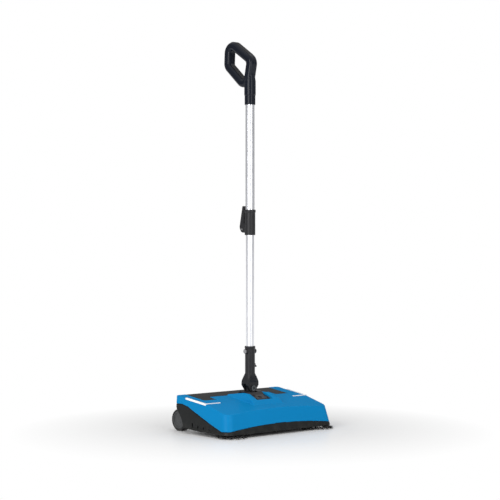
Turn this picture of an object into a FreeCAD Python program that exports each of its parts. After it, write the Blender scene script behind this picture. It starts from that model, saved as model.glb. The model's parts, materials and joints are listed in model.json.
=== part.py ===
"""Cordless carpet sweeper: low head with two side brushes, and a telescopic handle in a two-axis joint.

Millimetres. +Z is up, -Y is the front of the head and +X its right-hand side seen from behind the
handle's grip. The origin lies on the floor under the middle of the whole sweeper.
"""
import FreeCAD, Part
import math
import os
import re
import Sketcher
from FreeCAD import Placement, Rotation, Vector

doc = FreeCAD.newDocument("CarpetSweeper")
sheet = doc.addObject("Spreadsheet::Sheet", "Sizes")

# Driving dimensions: alias, value, meaning.
SIZES = [
    # head outline, at the floor side (low) and above the cover (high)
    ("hull_low", 6.0, "level of the lower outline"),
    ("hull_high", 120.0, "level of the upper outline"),
    ("front_low", 140.7, "reach of the front face at the lower outline"),
    ("front_high", 113.0, "reach of the front face at the upper outline"),
    ("rear_low", 119.0, "reach of the rear face at the lower outline"),
    ("rear_high", 116.0, "reach of the rear face at the upper outline"),
    ("half_front_low", 219.0, "half width at the front, lower outline"),
    ("half_front_high", 199.0, "half width at the front, upper outline"),
    ("half_rear_low", 216.0, "half width at the rear, lower outline"),
    ("half_rear_high", 211.5, "half width at the rear, upper outline"),
    ("front_corner", 26.0, "plan radius of the front corners"),
    ("rear_corner", 10.0, "plan radius of the rear corners"),
    ("cover_wall", 2.5, "cover wall"),
    ("tray_wall", 3.0, "chassis wall"),
    # side profile
    ("bottom_front", 10.5, "underside of the chassis at the front"),
    ("bottom_rear", 16.0, "underside of the chassis at the rear"),
    ("rim_top", 21.0, "parting line at the front corners"),
    ("arch_rise", 13.0, "rise of the parting line at the middle of the front"),
    ("parting_rear", 88.0, "parting line at the rear"),
    ("rear_top", 113.0, "top of the head at the rear"),
    ("fold_y", -27.0, "fold between the rear top and the front slope"),
    ("fold_z", 95.0, "height of the fold"),
    ("strip_height", 5.5, "height of the bright strips over the side creases"),
    ("strip_rise", 2.2, "how far the bright strips rise above the top"),
    ("strip_width", 4.0, "width of the bright strips on the top"),
    ("strip_proud", 1.6, "how far the bright strips stand out"),
    ("strip_reach", 94.0, "length of the bright strips behind the fold"),
    ("strip_inner", 150.0, "distance of the strips' inner ends from the middle"),
    ("front_slope", 0.293, "fall of the front slope"),
    ("crown", 19.0, "crown of the front slope ahead of the head"),
    ("flank_foot", 74.0, "foot of the slanting rear edge of the flanks"),
    ("floor_rear", 19.7, "chassis floor under the dust bin"),
    # shoulders beside the joint
    ("shoulder_half", 56.0, "half width of the shoulders at their foot"),
    ("shoulder_top", 117.0, "top of the shoulders"),
    ("channel_half", 33.0, "half width of the channel"),
    ("channel_front", -62.0, "front end of the channel"),
    ("bin_front", 60.0, "front edge of the bin's lid in the cover"),
    ("lobe_front", 24.0, "front edge of the lid's two side lobes"),
    ("lobe_inner", 122.0, "inner edge of the lid's side lobes"),
    ("notch_half", 172.0, "half width of the lid's opening"),
    ("seam", 0.8, "gap round the lid"),
    # handle joint
    ("handle_y", 10.0, "handle axis ahead of or behind the origin"),
    ("pitch_z", 106.0, "height of the pitch axis"),
    ("roll_z", 130.0, "height of the roll axis"),
    ("axle_radius", 5.0, "pitch axle"),
    ("bolt_radius", 4.0, "roll bolt"),
    ("running", 0.06, "radial clearance of shafts that turn"),
    ("slip", 0.3, "clearance between faces that slide past each other"),
    ("barrel_radius", 10.0, "knuckle barrel"),
    ("tongue_half", 6.0, "half thickness of the knuckle's tongue"),
    ("tongue_radius", 11.0, "rounded end of the tongue"),
    ("cheek_inner", 14.0, "inner face of the bearing block's cheeks"),
    ("cheek_rise", 15.0, "top of the cheeks above the pitch axis"),
    ("base_floor", 92.0, "floor of the bearing block's pocket"),
    ("yoke_half_width", 23.0, "half width of the yoke block"),
    ("yoke_half_depth", 15.0, "half depth of the yoke block"),
    ("yoke_nose", 13.5, "round nose of the yoke about the roll bolt"),
    ("yoke_shoulder", 142.0, "widest level of the yoke"),
    ("yoke_waist", 178.0, "level where the yoke becomes round"),
    ("yoke_top", 260.0, "top of the yoke"),
    ("yoke_radius", 15.5, "round part of the yoke"),
    # tubes
    ("lower_radius", 12.5, "lower tube"),
    ("upper_radius", 14.0, "upper tube"),
    ("tube_wall", 1.4, "tube wall"),
    ("tube_fit", 0.08, "radial clearance of the telescopic tubes"),
    ("lower_foot", 190.0, "foot of the lower tube"),
    ("lower_head", 760.0, "head of the lower tube"),
    ("upper_foot", 640.0, "foot of the upper tube"),
    ("upper_head", 1075.0, "head of the upper tube"),
    # clamp
    ("clamp_low", 606.0, "foot of the clamp"),
    ("clamp_high", 685.0, "top of the clamp"),
    ("clamp_radius", 16.5, "clamp body"),
    ("clamp_pin_y", 25.0, "lever pin behind the handle axis"),
    ("clamp_pin_z", 624.0, "height of the lever pin"),
    ("lever_half", 7.5, "half width of the clamp lever"),
    # grip
    ("grip_lap", 63.0, "how far the grip reaches down over the upper tube"),
    ("collar_lap", 33.0, "top of the grip's collar below the end of the upper tube"),
    ("socket_rise", 11.0, "end of the grip's socket above the upper tube"),
    ("socket_radius", 18.0, "grip socket"),
    ("grip_half", 16.0, "half width of the grip"),
    ("grip_bar", 27.0, "thickness of the loop's bars"),
    ("grip_corner", 21.0, "corner radius of the loop's centre line"),
    ("pad_proud", 0.8, "soft pads above the grip"),
    ("pad_sunk", 1.5, "soft pads let into the grip"),
    # wheels
    ("wheel_radius", 33.5, "rear wheel"),
    ("wheel_y", 128.0, "rear axle"),
    ("wheel_inner", 166.0, "inner face of the wheels"),
    ("wheel_width", 25.0, "width of the wheels"),
    ("stub_radius", 4.0, "stub axles"),
    ("roller_radius", 10.0, "front rollers"),
    ("roller_x", 120.0, "front rollers from the middle"),
    ("roller_y", -112.0, "front rollers"),
    # brushes and drive
    ("brush_y", -45.0, "main brush axis"),
    ("brush_z", 38.0, "height of the main brush axis"),
    ("brush_radius", 36.0, "main brush over its bristles"),
    ("core_radius", 12.0, "main brush core"),
    ("brush_half", 148.0, "half length of the main brush"),
    ("journal_radius", 4.0, "main brush journals"),
    ("wall_inner", 153.0, "inner face of the side partitions"),
    ("side_brush_x", 178.0, "side brush axis"),
    ("side_brush_y", -112.0, "side brush axis"),
    ("side_brush_radius", 49.5, "side brush over its bristles"),
    ("hub_radius", 20.0, "side brush hub"),
    ("hub_recess", 23.5, "recess over the side brush hub"),
    ("motor_y", 20.0, "drive motor axis"),
    ("motor_z", 52.0, "height of the drive motor axis"),
    ("motor_radius", 18.0, "drive motor"),
    ("brush_pulley_radius", 16.0, "brush pulley"),
    ("motor_pulley_radius", 8.0, "motor pulley"),
    ("belt_width", 6.0, "belt width"),
    ("belt_thick", 1.6, "belt thickness"),
    # dust bin
    ("bin_half", 150.0, "half width of the dust bin"),
    ("bin_mouth_y", 2.0, "front wall of the dust bin"),
    ("bin_low", 20.0, "underside of the dust bin"),
    ("bin_step", 74.0, "low top of the dust bin under the handle joint"),
    ("bin_wall", 2.0, "dust bin wall"),
    ("lid_thick", 6.0, "lid thickness"),
    ("lid_drop", 0.4, "lid below the cover's surface"),
    # power
    ("gear_radius", 10.5, "side brush gear motor"),
    ("rocker_y", 76.0, "middle of the rocker switch"),
    ("rocker_z", 56.0, "height of the rocker switch"),
    ("rocker_half", 9.0, "half length of the rocker"),
    ("inlet_y", 30.0, "charging socket"),
    ("inlet_z", 52.0, "height of the charging socket"),
    ("inlet_radius", 5.5, "charging socket barrel"),
    ("plug_radius", 2.75, "bore for the charger's plug"),
]

# Places that follow from the driving dimensions.
DERIVED = {
    "rear_slope": "((rear_top - fold_z) / (rear_high - fold_y))",
    "wall_outer": "(wall_inner + tray_wall)",
    "plate_low": "(bin_step + 3)",
    "plate_high": "(bin_step + 6)",
    "grip_low": "(upper_head - grip_lap)",
    "grip_collar": "(upper_head - collar_lap)",
    "socket_top": "(upper_head + socket_rise)",
    "clamp_axis_y": "(handle_y + clamp_pin_y)",
    "belt_x": "(-(wall_outer + 5))",
}

for row, (alias, value, meaning) in enumerate(SIZES, start=1):
    sheet.set(f"A{row}", alias)
    sheet.set(f"B{row}", str(value))
    sheet.setAlias(f"B{row}", alias)
    sheet.set(f"C{row}", meaning)
doc.recompute()

ALIASES = {alias for alias, _, _ in SIZES}
WORD = re.compile(r"\b[a-z][a-z_0-9]*\b")
PARTS = []


def ex(text):
    """Expression in which each size name is a reference to its cell."""
    text = str(text)
    while any(word in DERIVED for word in WORD.findall(text)):
        text = WORD.sub(lambda found: DERIVED.get(found.group(0), found.group(0)), text)
    return WORD.sub(lambda found: "Sizes." + found.group(0) if found.group(0) in ALIASES
                    else found.group(0), text)


def num(text):
    """Present value of an expression."""
    value = sheet.evalExpression(ex(text))
    return float(getattr(value, "Value", value))


def part(label, solid):
    """Names a finished sub-part."""
    solid.Label = label
    PARTS.append(solid)
    return solid


# Primitives and booleans ----------------------------------------------------------------------------

# Span of the bores and slots that pass right through the handle's joints.
ACROSS = ("-60", "60")
TURNS = {"X": Rotation(Vector(0, 1, 0), 90), "Y": Rotation(Vector(1, 0, 0), -90), "Z": Rotation()}


def place(solid, places):
    """Binds a solid's position to three expressions."""
    for letter, text in zip("xyz", places):
        solid.setExpression(f"Placement.Base.{letter}", ex(text))


def box(name, x, y, z):
    """Block between a low and a high plane on each axis."""
    solid = doc.addObject("Part::Box", name)
    for side, (low, high) in zip(("Length", "Width", "Height"), (x, y, z)):
        solid.setExpression(side, ex(f"({high}) - ({low})"))
    place(solid, (x[0], y[0], z[0]))
    return solid


def side_span(side, inner, outer):
    """X range of something that lies between two distances from the middle, on one side."""
    if side > 0:
        return (inner, outer)
    return (f"-({outer})", f"-({inner})")


def rod(name, axis, radius, centre, span):
    """Cylinder along an axis; centre holds its two other coordinates in X, Y, Z order."""
    solid = doc.addObject("Part::Cylinder", name)
    solid.setExpression("Radius", ex(radius))
    solid.setExpression("Height", ex(f"({span[1]}) - ({span[0]})"))
    solid.Placement = Placement(Vector(), TURNS[axis])
    places = list(centre)
    places.insert("XYZ".index(axis), span[0])
    place(solid, places)
    return solid


def cone(name, axis, radii, centre, span):
    """Cone frustum along an axis."""
    solid = doc.addObject("Part::Cone", name)
    solid.setExpression("Radius1", ex(radii[0]))
    solid.setExpression("Radius2", ex(radii[1]))
    solid.setExpression("Height", ex(f"({span[1]}) - ({span[0]})"))
    solid.Placement = Placement(Vector(), TURNS[axis])
    places = list(centre)
    places.insert("XYZ".index(axis), span[0])
    place(solid, places)
    return solid


def fuse(name, *solids):
    """Union of solids."""
    result = doc.addObject("Part::MultiFuse", name)
    result.Shapes = list(solids)
    return result


def common(name, *solids):
    """Part shared by solids."""
    result = doc.addObject("Part::MultiCommon", name)
    result.Shapes = list(solids)
    return result


def cut(name, base, *tools):
    """Base less its tools."""
    result = doc.addObject("Part::Cut", name)
    result.Base = base
    result.Tool = tools[0] if len(tools) == 1 else fuse(f"{name}_tools", *tools)
    return result


def tube(name, axis, outer, inner, centre, span):
    """Pipe along an axis."""
    shell = rod(f"{name}_outside", axis, outer, centre, span)
    bore = rod(f"{name}_bore", axis, inner, centre, (f"{span[0]} - 1", f"{span[1]} + 1"))
    return cut(name, shell, bore)


# Sketches -------------------------------------------------------------------------------------------


def pin_point(sketch, geometry, vertex, u, v):
    """Binds a sketch vertex to two expressions."""
    for kind, text in (("DistanceX", u), ("DistanceY", v)):
        index = sketch.addConstraint(Sketcher.Constraint(kind, -1, 1, geometry, vertex, num(text)))
        sketch.renameConstraint(index, f"{kind.lower()}_{index}")
        sketch.setExpression(f"Constraints.{kind.lower()}_{index}", ex(text))


def draw(sketch, corners):
    """Closed outline, counter-clockwise; a corner is (u, v) or (u, v, radius), as expressions."""
    points = [Vector(num(corner[0]), num(corner[1]), 0) for corner in corners]
    count = len(points)
    radii = [num(corner[2]) if len(corner) > 2 else 0.0 for corner in corners]
    ends = []
    for i, point in enumerate(points):
        back = (points[i - 1] - point).normalize()
        ahead = (points[(i + 1) % count] - point).normalize()
        half = back.getAngle(ahead) / 2
        reach = radii[i] / math.tan(half) if radii[i] else 0.0
        middle = point + (back + ahead).normalize() * (radii[i] / math.sin(half)) if radii[i] else point
        convex = back.cross(ahead).z < 0
        ends.append((point + back * reach, point + ahead * reach, middle, convex))
    lines = []
    for i in range(count):
        lines.append(sketch.addGeometry(Part.LineSegment(ends[i][1], ends[(i + 1) % count][0])))
    for i, corner in enumerate(corners):
        before, after = lines[i - 1], lines[i]
        if not radii[i]:
            sketch.addConstraint(Sketcher.Constraint("Coincident", before, 2, after, 1))
            pin_point(sketch, after, 1, corner[0], corner[1])
            continue
        enter, leave, middle, convex = ends[i]
        first, last = (enter, leave) if convex else (leave, enter)
        angles = [math.atan2(end.y - middle.y, end.x - middle.x) for end in (first, last)]
        circle = Part.Circle(middle, Vector(0, 0, 1), radii[i])
        arc = sketch.addGeometry(Part.ArcOfCircle(circle, angles[0], angles[1]))
        start, finish = (1, 2) if convex else (2, 1)
        sketch.addConstraint(Sketcher.Constraint("Tangent", before, 2, arc, start))
        sketch.addConstraint(Sketcher.Constraint("Tangent", arc, finish, after, 1))
        index = sketch.addConstraint(Sketcher.Constraint("Radius", arc, radii[i]))
        sketch.renameConstraint(index, f"radius_{index}")
        sketch.setExpression(f"Constraints.radius_{index}", ex(corner[2]))
        apex = sketch.addGeometry(Part.Point(points[i]), True)
        pin_point(sketch, apex, 1, corner[0], corner[1])
        sketch.addConstraint(Sketcher.Constraint("PointOnObject", apex, 1, before))
        sketch.addConstraint(Sketcher.Constraint("PointOnObject", apex, 1, after))


def new_sketch(body, name, plane, level):
    """Sketch parallel to one of the body's own origin planes, at a level on that plane's axis."""
    sketch = body.newObject("Sketcher::SketchObject", name)
    support = [item for item in body.Origin.OriginFeatures if item.Role == f"{plane}_Plane"]
    sketch.AttachmentSupport = [(support[0], "")]
    sketch.MapMode = "FlatFace"
    # The XZ plane's own normal points to the front, against +Y.
    sketch.setExpression("AttachmentOffset.Base.z", ex(f"-({level})" if plane == "XZ" else level))
    return sketch


def prism(name, plane, corners, span):
    """Body with one outline padded between two levels along the plane's axis."""
    body = doc.addObject("PartDesign::Body", name)
    start = span[1] if plane == "XZ" else span[0]
    sketch = new_sketch(body, f"{name}_outline", plane, start)
    draw(sketch, corners)
    pad = body.newObject("PartDesign::Pad", f"{name}_pad")
    pad.Profile = sketch
    pad.setExpression("Length", ex(f"({span[1]}) - ({span[0]})"))
    return body


def turned(name, axis_point, axis, corners):
    """Body turned about an axis through a point; corners are (radius, level) along that axis."""
    body = doc.addObject("PartDesign::Body", name)
    sketch = new_sketch(body, f"{name}_outline", "XZ", "0")
    draw(sketch, corners)
    spin = body.newObject("PartDesign::Revolution", f"{name}_spin")
    spin.Profile = sketch
    spin.ReferenceAxis = (sketch, ["V_Axis"])
    spin.Angle = 360
    body.Placement = Placement(Vector(), TURNS[axis])
    place(body, axis_point)
    return body


# Head outline ---------------------------------------------------------------------------------------


def hull(name, inset):
    """Tapered outer form of the head with rounded corners, moved inwards all round."""
    body = doc.addObject("PartDesign::Body", name)
    sections = []
    for level in ("low", "high"):
        sketch = new_sketch(body, f"{name}_{level}", "XY", f"hull_{level}")
        front, rear = f"-(front_{level} - {inset})", f"rear_{level} - {inset}"
        half_front, half_rear = f"half_front_{level} - {inset}", f"half_rear_{level} - {inset}"
        draw(sketch, [
            (f"-({half_front})", front, f"front_corner - {inset}"),
            (half_front, front, f"front_corner - {inset}"),
            (half_rear, rear, f"rear_corner - {inset}"),
            (f"-({half_rear})", rear, f"rear_corner - {inset}"),
        ])
        sections.append(sketch)
    loft = body.newObject("PartDesign::AdditiveLoft", f"{name}_loft")
    loft.Profile = sections[0]
    loft.Sections = [sections[1]]
    loft.Ruled = True
    return body


def crown_above(name, drop):
    """Space above the crowned front slope and the flat rear top, lowered by drop."""
    body = doc.addObject("PartDesign::Body", name)
    sections = []
    edge, ceiling = "230", "220"
    for number, (level, rise) in enumerate(((FRONT_END, "crown"), ("fold_y", "0"))):
        sketch = new_sketch(body, f"{name}_section_{number}", "XZ", level)
        foot = f"fold_z - {drop} + (({level}) - fold_y) * front_slope"
        left, right = Vector(num(f"-{edge}"), num(foot), 0), Vector(num(edge), num(foot), 0)
        top_right, top_left = Vector(right.x, num(ceiling), 0), Vector(left.x, num(ceiling), 0)
        if rise == "0":
            sketch.addGeometry(Part.LineSegment(right, left))
        else:
            radius = num(f"({edge} * {edge} + {rise} * {rise}) / (2 * {rise})")
            half = math.asin(right.x / radius)
            circle = Part.Circle(Vector(0, right.y + num(rise) - radius, 0), Vector(0, 0, 1), radius)
            sketch.addGeometry(Part.ArcOfCircle(circle, math.pi / 2 - half, math.pi / 2 + half))
        sketch.addGeometry(Part.LineSegment(left, top_left))
        sketch.addGeometry(Part.LineSegment(top_left, top_right))
        sketch.addGeometry(Part.LineSegment(top_right, right))
        for edge_number in range(4):
            link = (edge_number, 2, (edge_number + 1) % 4, 1)
            sketch.addConstraint(Sketcher.Constraint("Coincident", *link))
        pin_point(sketch, 1, 1, f"-{edge}", foot)
        pin_point(sketch, 2, 1, f"-{edge}", ceiling)
        pin_point(sketch, 3, 1, edge, ceiling)
        pin_point(sketch, 3, 2, edge, foot)
        if rise != "0":
            index = sketch.addConstraint(Sketcher.Constraint("Radius", 0, radius))
            sketch.renameConstraint(index, "bow")
            bow = f"({edge} * {edge} + {rise} * {rise}) / (2 * {rise})"
            sketch.setExpression("Constraints.bow", ex(bow))
        sections.append(sketch)
    loft = body.newObject("PartDesign::AdditiveLoft", f"{name}_loft")
    loft.Profile = sections[0]
    loft.Sections = [sections[1]]
    loft.Ruled = True
    return body


def arch_block(name, half, foot, rise, y):
    """Block with a bowed top: the raised middle of the front parting line."""
    body = doc.addObject("PartDesign::Body", name)
    sketch = new_sketch(body, f"{name}_outline", "XZ", y[1])
    radius = num(f"(({half}) * ({half}) + ({rise}) * ({rise})) / (2 * ({rise}))")
    lean = math.asin(num(half) / radius)
    top = Vector(0, num(foot) + num(rise) - radius, 0)
    sketch.addGeometry(Part.ArcOfCircle(Part.Circle(top, Vector(0, 0, 1), radius),
                                        math.pi / 2 - lean, math.pi / 2 + lean))
    left, right = Vector(-num(half), num(foot), 0), Vector(num(half), num(foot), 0)
    sketch.addGeometry(Part.LineSegment(left, right))
    sketch.addConstraint(Sketcher.Constraint("Coincident", 0, 2, 1, 1))
    sketch.addConstraint(Sketcher.Constraint("Coincident", 1, 2, 0, 1))
    pin_point(sketch, 1, 1, f"-({half})", foot)
    pin_point(sketch, 1, 2, half, foot)
    index = sketch.addConstraint(Sketcher.Constraint("Radius", 0, radius))
    sketch.renameConstraint(index, "bow")
    sketch.setExpression("Constraints.bow",
                         ex(f"(({half}) * ({half}) + ({rise}) * ({rise})) / (2 * ({rise}))"))
    pad = body.newObject("PartDesign::Pad", f"{name}_pad")
    pad.Profile = sketch
    pad.setExpression("Length", ex(f"({y[1]}) - ({y[0]})"))
    return body


FULL_WIDTH = ("-230", "230")
FRONT_END = "-170"
REAR_END = "130"
# Parting line between cover and chassis along the flanks, from front to rear.
PARTING = [
    ("-109", "rim_top"),
    ("-56", "rim_top + 17"),
    ("24", "rim_top + 47"),
    ("55", "parting_rear - 6.5"),
    ("85", "parting_rear"),
]
REAR_TOP_LINE = [
    (REAR_END, f"rear_top + ({REAR_END} - rear_high) * rear_slope"),
    ("fold_y", "fold_z"),
]


def lowered(corners, drop):
    """The same corners, lower."""
    return [(u, f"{v} - ({drop})") for u, v in corners]


# Top cover ------------------------------------------------------------------------------------------


def cover_form(name, inset):
    """Solid under the cover's surface, moved inwards by inset."""
    above = prism(f"{name}_profile", "YZ", [
        (FRONT_END, "rim_top"),
        *PARTING,
        (REAR_END, "parting_rear"),
        *lowered(REAR_TOP_LINE, inset),
        (FRONT_END, f"fold_z - {inset}"),
    ], FULL_WIDTH)
    return cut(name, common(f"{name}_whole", hull(f"{name}_hull", inset), above),
               crown_above(f"{name}_sky", inset))


def shoulders(name, inset):
    """Raised form beside the handle joint, rounded off towards the front slope."""
    side = prism(f"{name}_side", "YZ", [
        (f"-96 + {inset}", "fold_z - 26"),
        (f"bin_front - {inset}", "parting_rear + 1"),
        (f"bin_front - {inset}", f"rear_top - 4 - {inset}"),
        ("-2", f"shoulder_top - {inset}"),
        ("-28", f"shoulder_top - 1 - {inset}", "18"),
        (f"-62 + {inset}", f"fold_z + 6 - {inset}", "14"),
        (f"-96 + {inset}", f"fold_z - 22 - {inset}"),
    ], ("-90", "90"))
    front = prism(f"{name}_front", "XZ", [
        (f"-(shoulder_half + 8 - {inset})", "fold_z - 30"),
        (f"shoulder_half + 8 - {inset}", "fold_z - 30"),
        (f"shoulder_half - {inset}", f"fold_z + 6 - {inset}", "12"),
        (f"channel_half + 9 - {inset}", f"shoulder_top - {inset}", "6"),
        (f"-(channel_half + 9 - {inset})", f"shoulder_top - {inset}", "6"),
        (f"-(shoulder_half - {inset})", f"fold_z + 6 - {inset}", "12"),
    ], (FRONT_END, REAR_END))
    return common(name, side, front)


def make_cover():
    """Thin shell with the channel for the handle joint and the notch for the bin's lid."""
    outside = fuse("cover_outside", cover_form("cover_outer", "0"), shoulders("shoulders_outer", "0"))
    inside = fuse("cover_inside", cover_form("cover_inner", "cover_wall"),
                  shoulders("shoulders_inner", "cover_wall"))
    wall_room = box("channel_wall_room", ("-(channel_half + cover_wall)", "channel_half + cover_wall"),
                    ("channel_front - cover_wall", "bin_front"), ("plate_high + slip", "shoulder_top + 10"))
    inside = cut("cover_room", inside, wall_room)
    channel = box("cover_channel", ("-channel_half", "channel_half"),
                  ("channel_front", "bin_front + 1"), ("rim_top", "shoulder_top + 10"))
    notch = box("cover_notch", ("-notch_half", "notch_half"),
                ("bin_front", REAR_END), ("parting_rear", "rear_top + 20"))
    sill = box("cover_sill", ("-notch_half", "notch_half"),
               ("rear_high - 8", REAR_END), ("rim_top", "parting_rear + 1"))
    lobes = [box(f"cover_lobe_{side}", side_span(side, "lobe_inner", "notch_half"),
                 ("lobe_front", "bin_front + 1"), ("parting_rear", "rear_top + 20")) for side in (-1, 1)]
    arch = arch_block("cover_arch", "half_front_low - 12", "rim_top", "arch_rise",
                      (FRONT_END, "-front_high + 4"))
    part("top_cover", cut("cover_shell", outside, inside, channel, notch, sill, *lobes, arch))


make_cover()

# Chassis --------------------------------------------------------------------------------------------

OPENING_REAR = "brush_y + brush_radius + 4.5"
OPENING_FRONT = "brush_y - brush_radius - 5"


def flank(name, inset, floor):
    """Side profile of the chassis: floor line, slanting rear edge and parting line."""
    return prism(name, "YZ", [
        (FRONT_END, f"bottom_front + {floor}"),
        (OPENING_REAR, f"bottom_front + {floor} + 1.5 * (1 - {inset} / tray_wall)"),
        (f"flank_foot - {inset}", f"bottom_rear + {floor}"),
        (f"flank_foot + 10 - {inset}", "bottom_rear + 25"),
        (f"rear_high - 6 - {inset}", "parting_rear - 15"),
        (f"rear_high + 2 - {inset}", "parting_rear"),
        *reversed(PARTING),
        (FRONT_END, "rim_top"),
    ], FULL_WIDTH)


def make_tray():
    """Open-topped tray with partitions, wheel brackets, hub recesses and the brush opening."""
    rise = arch_block("tray_arch", "half_front_low - 12", "rim_top", "arch_rise",
                      (FRONT_END, "-front_high + 4"))
    outside = common("tray_outside", hull("tray_hull", "0"),
                     fuse("tray_sides", flank("tray_flank", "0", "0"), rise))
    hollow_top = box("tray_top", FULL_WIDTH, (FRONT_END, REAR_END), ("rim_top - 1", "parting_rear + 30"))
    hollow = common("tray_hollow", hull("tray_inner_hull", "tray_wall"),
                    fuse("tray_hollow_profile", flank("tray_inner_flank", "tray_wall", "tray_wall"),
                         common("tray_hollow_front", hollow_top,
                                box("tray_front_room", FULL_WIDTH, (FRONT_END, "flank_foot - 6"),
                                    ("0", "300")))))
    shell = cut("tray_shell", outside, hollow)
    walls = []
    for side in (-1, 1):
        walls.append(prism(f"partition_{side}", "YZ", [
            (f"{OPENING_FRONT} - tray_wall", "bottom_front"),
            ("flank_foot - 2", "bottom_rear"),
            ("rear_high - 5", "parting_rear - 11"),
            ("-50", "plate_low"),
            (f"{OPENING_FRONT} - tray_wall", "plate_low - 14"),
        ], side_span(side, "wall_inner", "wall_outer")))
        walls.append(box(f"recess_wall_{side}", side_span(side, "side_brush_x - 28", "side_brush_x + 24"),
                         ("side_brush_y - 18", "side_brush_y + 28"), ("bottom_front", "bottom_front + 12")))
        walls.append(box(f"wheel_bracket_{side}", side_span(side, "wall_inner", "wheel_inner - 1"),
                         ("flank_foot - 6", "wheel_y + 10"), ("wheel_radius - 11", "wheel_radius + 11")))
        walls.append(box(f"battery_sill_{side}", side_span(side, "wall_outer - 1", "wall_outer + 3"),
                         ("-20", "60"), ("bottom_front", "floor_rear")))
    walls.append(box("chamber_front", ("-wall_outer", "wall_outer"),
                     (f"{OPENING_FRONT} - tray_wall", OPENING_FRONT), ("bottom_front", "plate_low - 14")))
    walls.append(box("bin_floor", ("-wall_outer", "wall_outer"),
                     (OPENING_REAR, "flank_foot - 1"), ("bottom_rear - 2", "floor_rear")))
    walls.append(box("throat_lip", ("-wall_outer", "wall_outer"),
                     (OPENING_REAR, f"{OPENING_REAR} + 4"), ("bottom_front + 1.5", "floor_rear")))
    body = fuse("tray_body", shell, *walls)
    openings = [
        box("brush_opening", ("-wall_inner", "wall_inner"), (OPENING_FRONT, OPENING_REAR),
            ("0", "rim_top + 3")),
        box("bin_bay", ("-wall_inner", "wall_inner"), (f"{OPENING_REAR} + 4", REAR_END),
            ("floor_rear", "300")),
    ]
    for side in (-1, 1):
        centre = (f"{side} * side_brush_x", "side_brush_y")
        openings.append(rod(f"hub_room_{side}", "Z", "hub_recess", centre, ("0", "bottom_front + 8")))
        openings.append(rod(f"shaft_hole_{side}", "Z", "6", centre, ("0", "bottom_front + 20")))
        openings.append(rod(f"bearing_seat_{side}", "X", "9", ("brush_y", "brush_z"),
                            side_span(side, "wall_inner - 1", "wall_outer + 1")))
        openings.append(rod(f"stub_seat_{side}", "X", "stub_radius", ("wheel_y", "wheel_radius"),
                            side_span(side, "wall_inner - 1", "wheel_inner")))
        openings.append(rod(f"roller_seat_{side}", "X", "2", ("roller_y", "roller_radius"),
                            side_span(side, "roller_x - 11", "roller_x + 11")))
        openings.append(box(f"roller_pocket_{side}", side_span(side, "roller_x - 9", "roller_x + 9"),
                            ("roller_y - 12", "roller_y + 12"), ("0", "bottom_front + tray_wall + 1")))
        for number in range(4):
            low = f"{28 - 27 * number}"
            openings.append(box(f"vent_{side}_{number}",
                                side_span(side, "half_front_high", "half_front_low + 5"),
                                (low, f"{low} + 4"), ("floor_rear", f"floor_rear + {16 - 4 * number}")))
    openings.append(box("switch_cut", ("half_rear_low - 17", "half_rear_low + 9"),
                        ("rocker_y - rocker_half - 2", "rocker_y + rocker_half + 2"),
                        ("rocker_z - 7", "rocker_z + 7")))
    openings.append(rod("inlet_cut", "X", "inlet_radius + 1.8", ("inlet_y", "inlet_z"),
                        ("half_rear_low - 19", "half_rear_low + 9")))
    part("chassis_tray", cut("tray_finished", body, *openings))


make_tray()


def make_bridge():
    """Steel plate over the brush chamber that carries the handle's bearing block."""
    plate = box("bridge_blank", ("-(wall_outer + 6)", "wall_outer + 6"),
                ("channel_front + 2", "bin_front - 4"),
                ("plate_low", "plate_high"))
    holes = [rod(f"bridge_hole_{number}", "Z", "2.1", (x, y), ("plate_low - 1", "plate_high + 1"))
             for number, (x, y) in enumerate(BASE_SCREWS)]
    part("bridge_plate", cut("bridge_drilled", plate, *holes))


BASE_SCREWS = [("-24", "channel_front + 14"), ("24", "channel_front + 14"), ("-29", "bin_front - 12"),
               ("29", "bin_front - 12")]
make_bridge()

# Handle joint ---------------------------------------------------------------------------------------

BASE_HALF = "channel_half - seam"


def make_joint_base():
    """Boat-shaped bearing block: a pocket for the knuckle and a trough where the yoke leans back."""
    side = prism("base_side", "YZ", [
        ("channel_front + seam", "plate_high"),
        ("bin_front - 2", "plate_high"),
        ("bin_front - 2", "base_floor + 7"),
        ("handle_y + 24", "base_floor + 12", "5"),
        ("handle_y + 17", "pitch_z + cheek_rise", "13"),
        ("handle_y - 17", "pitch_z + cheek_rise", "13"),
        ("handle_y - 30", "pitch_z + 4", "10"),
        ("handle_y - 58", "pitch_z - 4", "12"),
        ("channel_front + seam", "plate_high + 4", "4"),
    ], (f"-({BASE_HALF})", BASE_HALF))
    foot = box("base_foot", (f"-({BASE_HALF})", BASE_HALF), ("channel_front + seam", "bin_front - 2"),
               ("plate_high", "plate_high + 4"))
    pocket = box("base_pocket", ("-(cheek_inner)", "cheek_inner"),
                 ("handle_y - yoke_half_depth - 5", "bin_front"), ("base_floor", "pitch_z + 30"))
    trough = box("base_trough", ("-(yoke_half_width + 4)", "yoke_half_width + 4"),
                 ("handle_y + 9", "bin_front"), ("base_floor", "pitch_z + 30"))
    bore = rod("base_bore", "X", "axle_radius", ("handle_y", "pitch_z"), ACROSS)
    cap_seat = rod("base_cap_seat", "Z", "7", ("0", "handle_y - 46"), ("plate_high + 12", "pitch_z + 20"))
    holes = [rod(f"base_hole_{number}", "Z", "2.1", (x, y), ("plate_high - 1", "pitch_z + 20"))
             for number, (x, y) in enumerate(BASE_SCREWS)]
    heads = [rod(f"base_head_room_{number}", "Z", "4.1", (x, y), ("plate_high + 8", "pitch_z + 20"))
             for number, (x, y) in enumerate(BASE_SCREWS)]
    part("joint_base", cut("base_bored", fuse("base_body", side, foot), pocket, trough, bore, cap_seat,
                           *holes, *heads))


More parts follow.
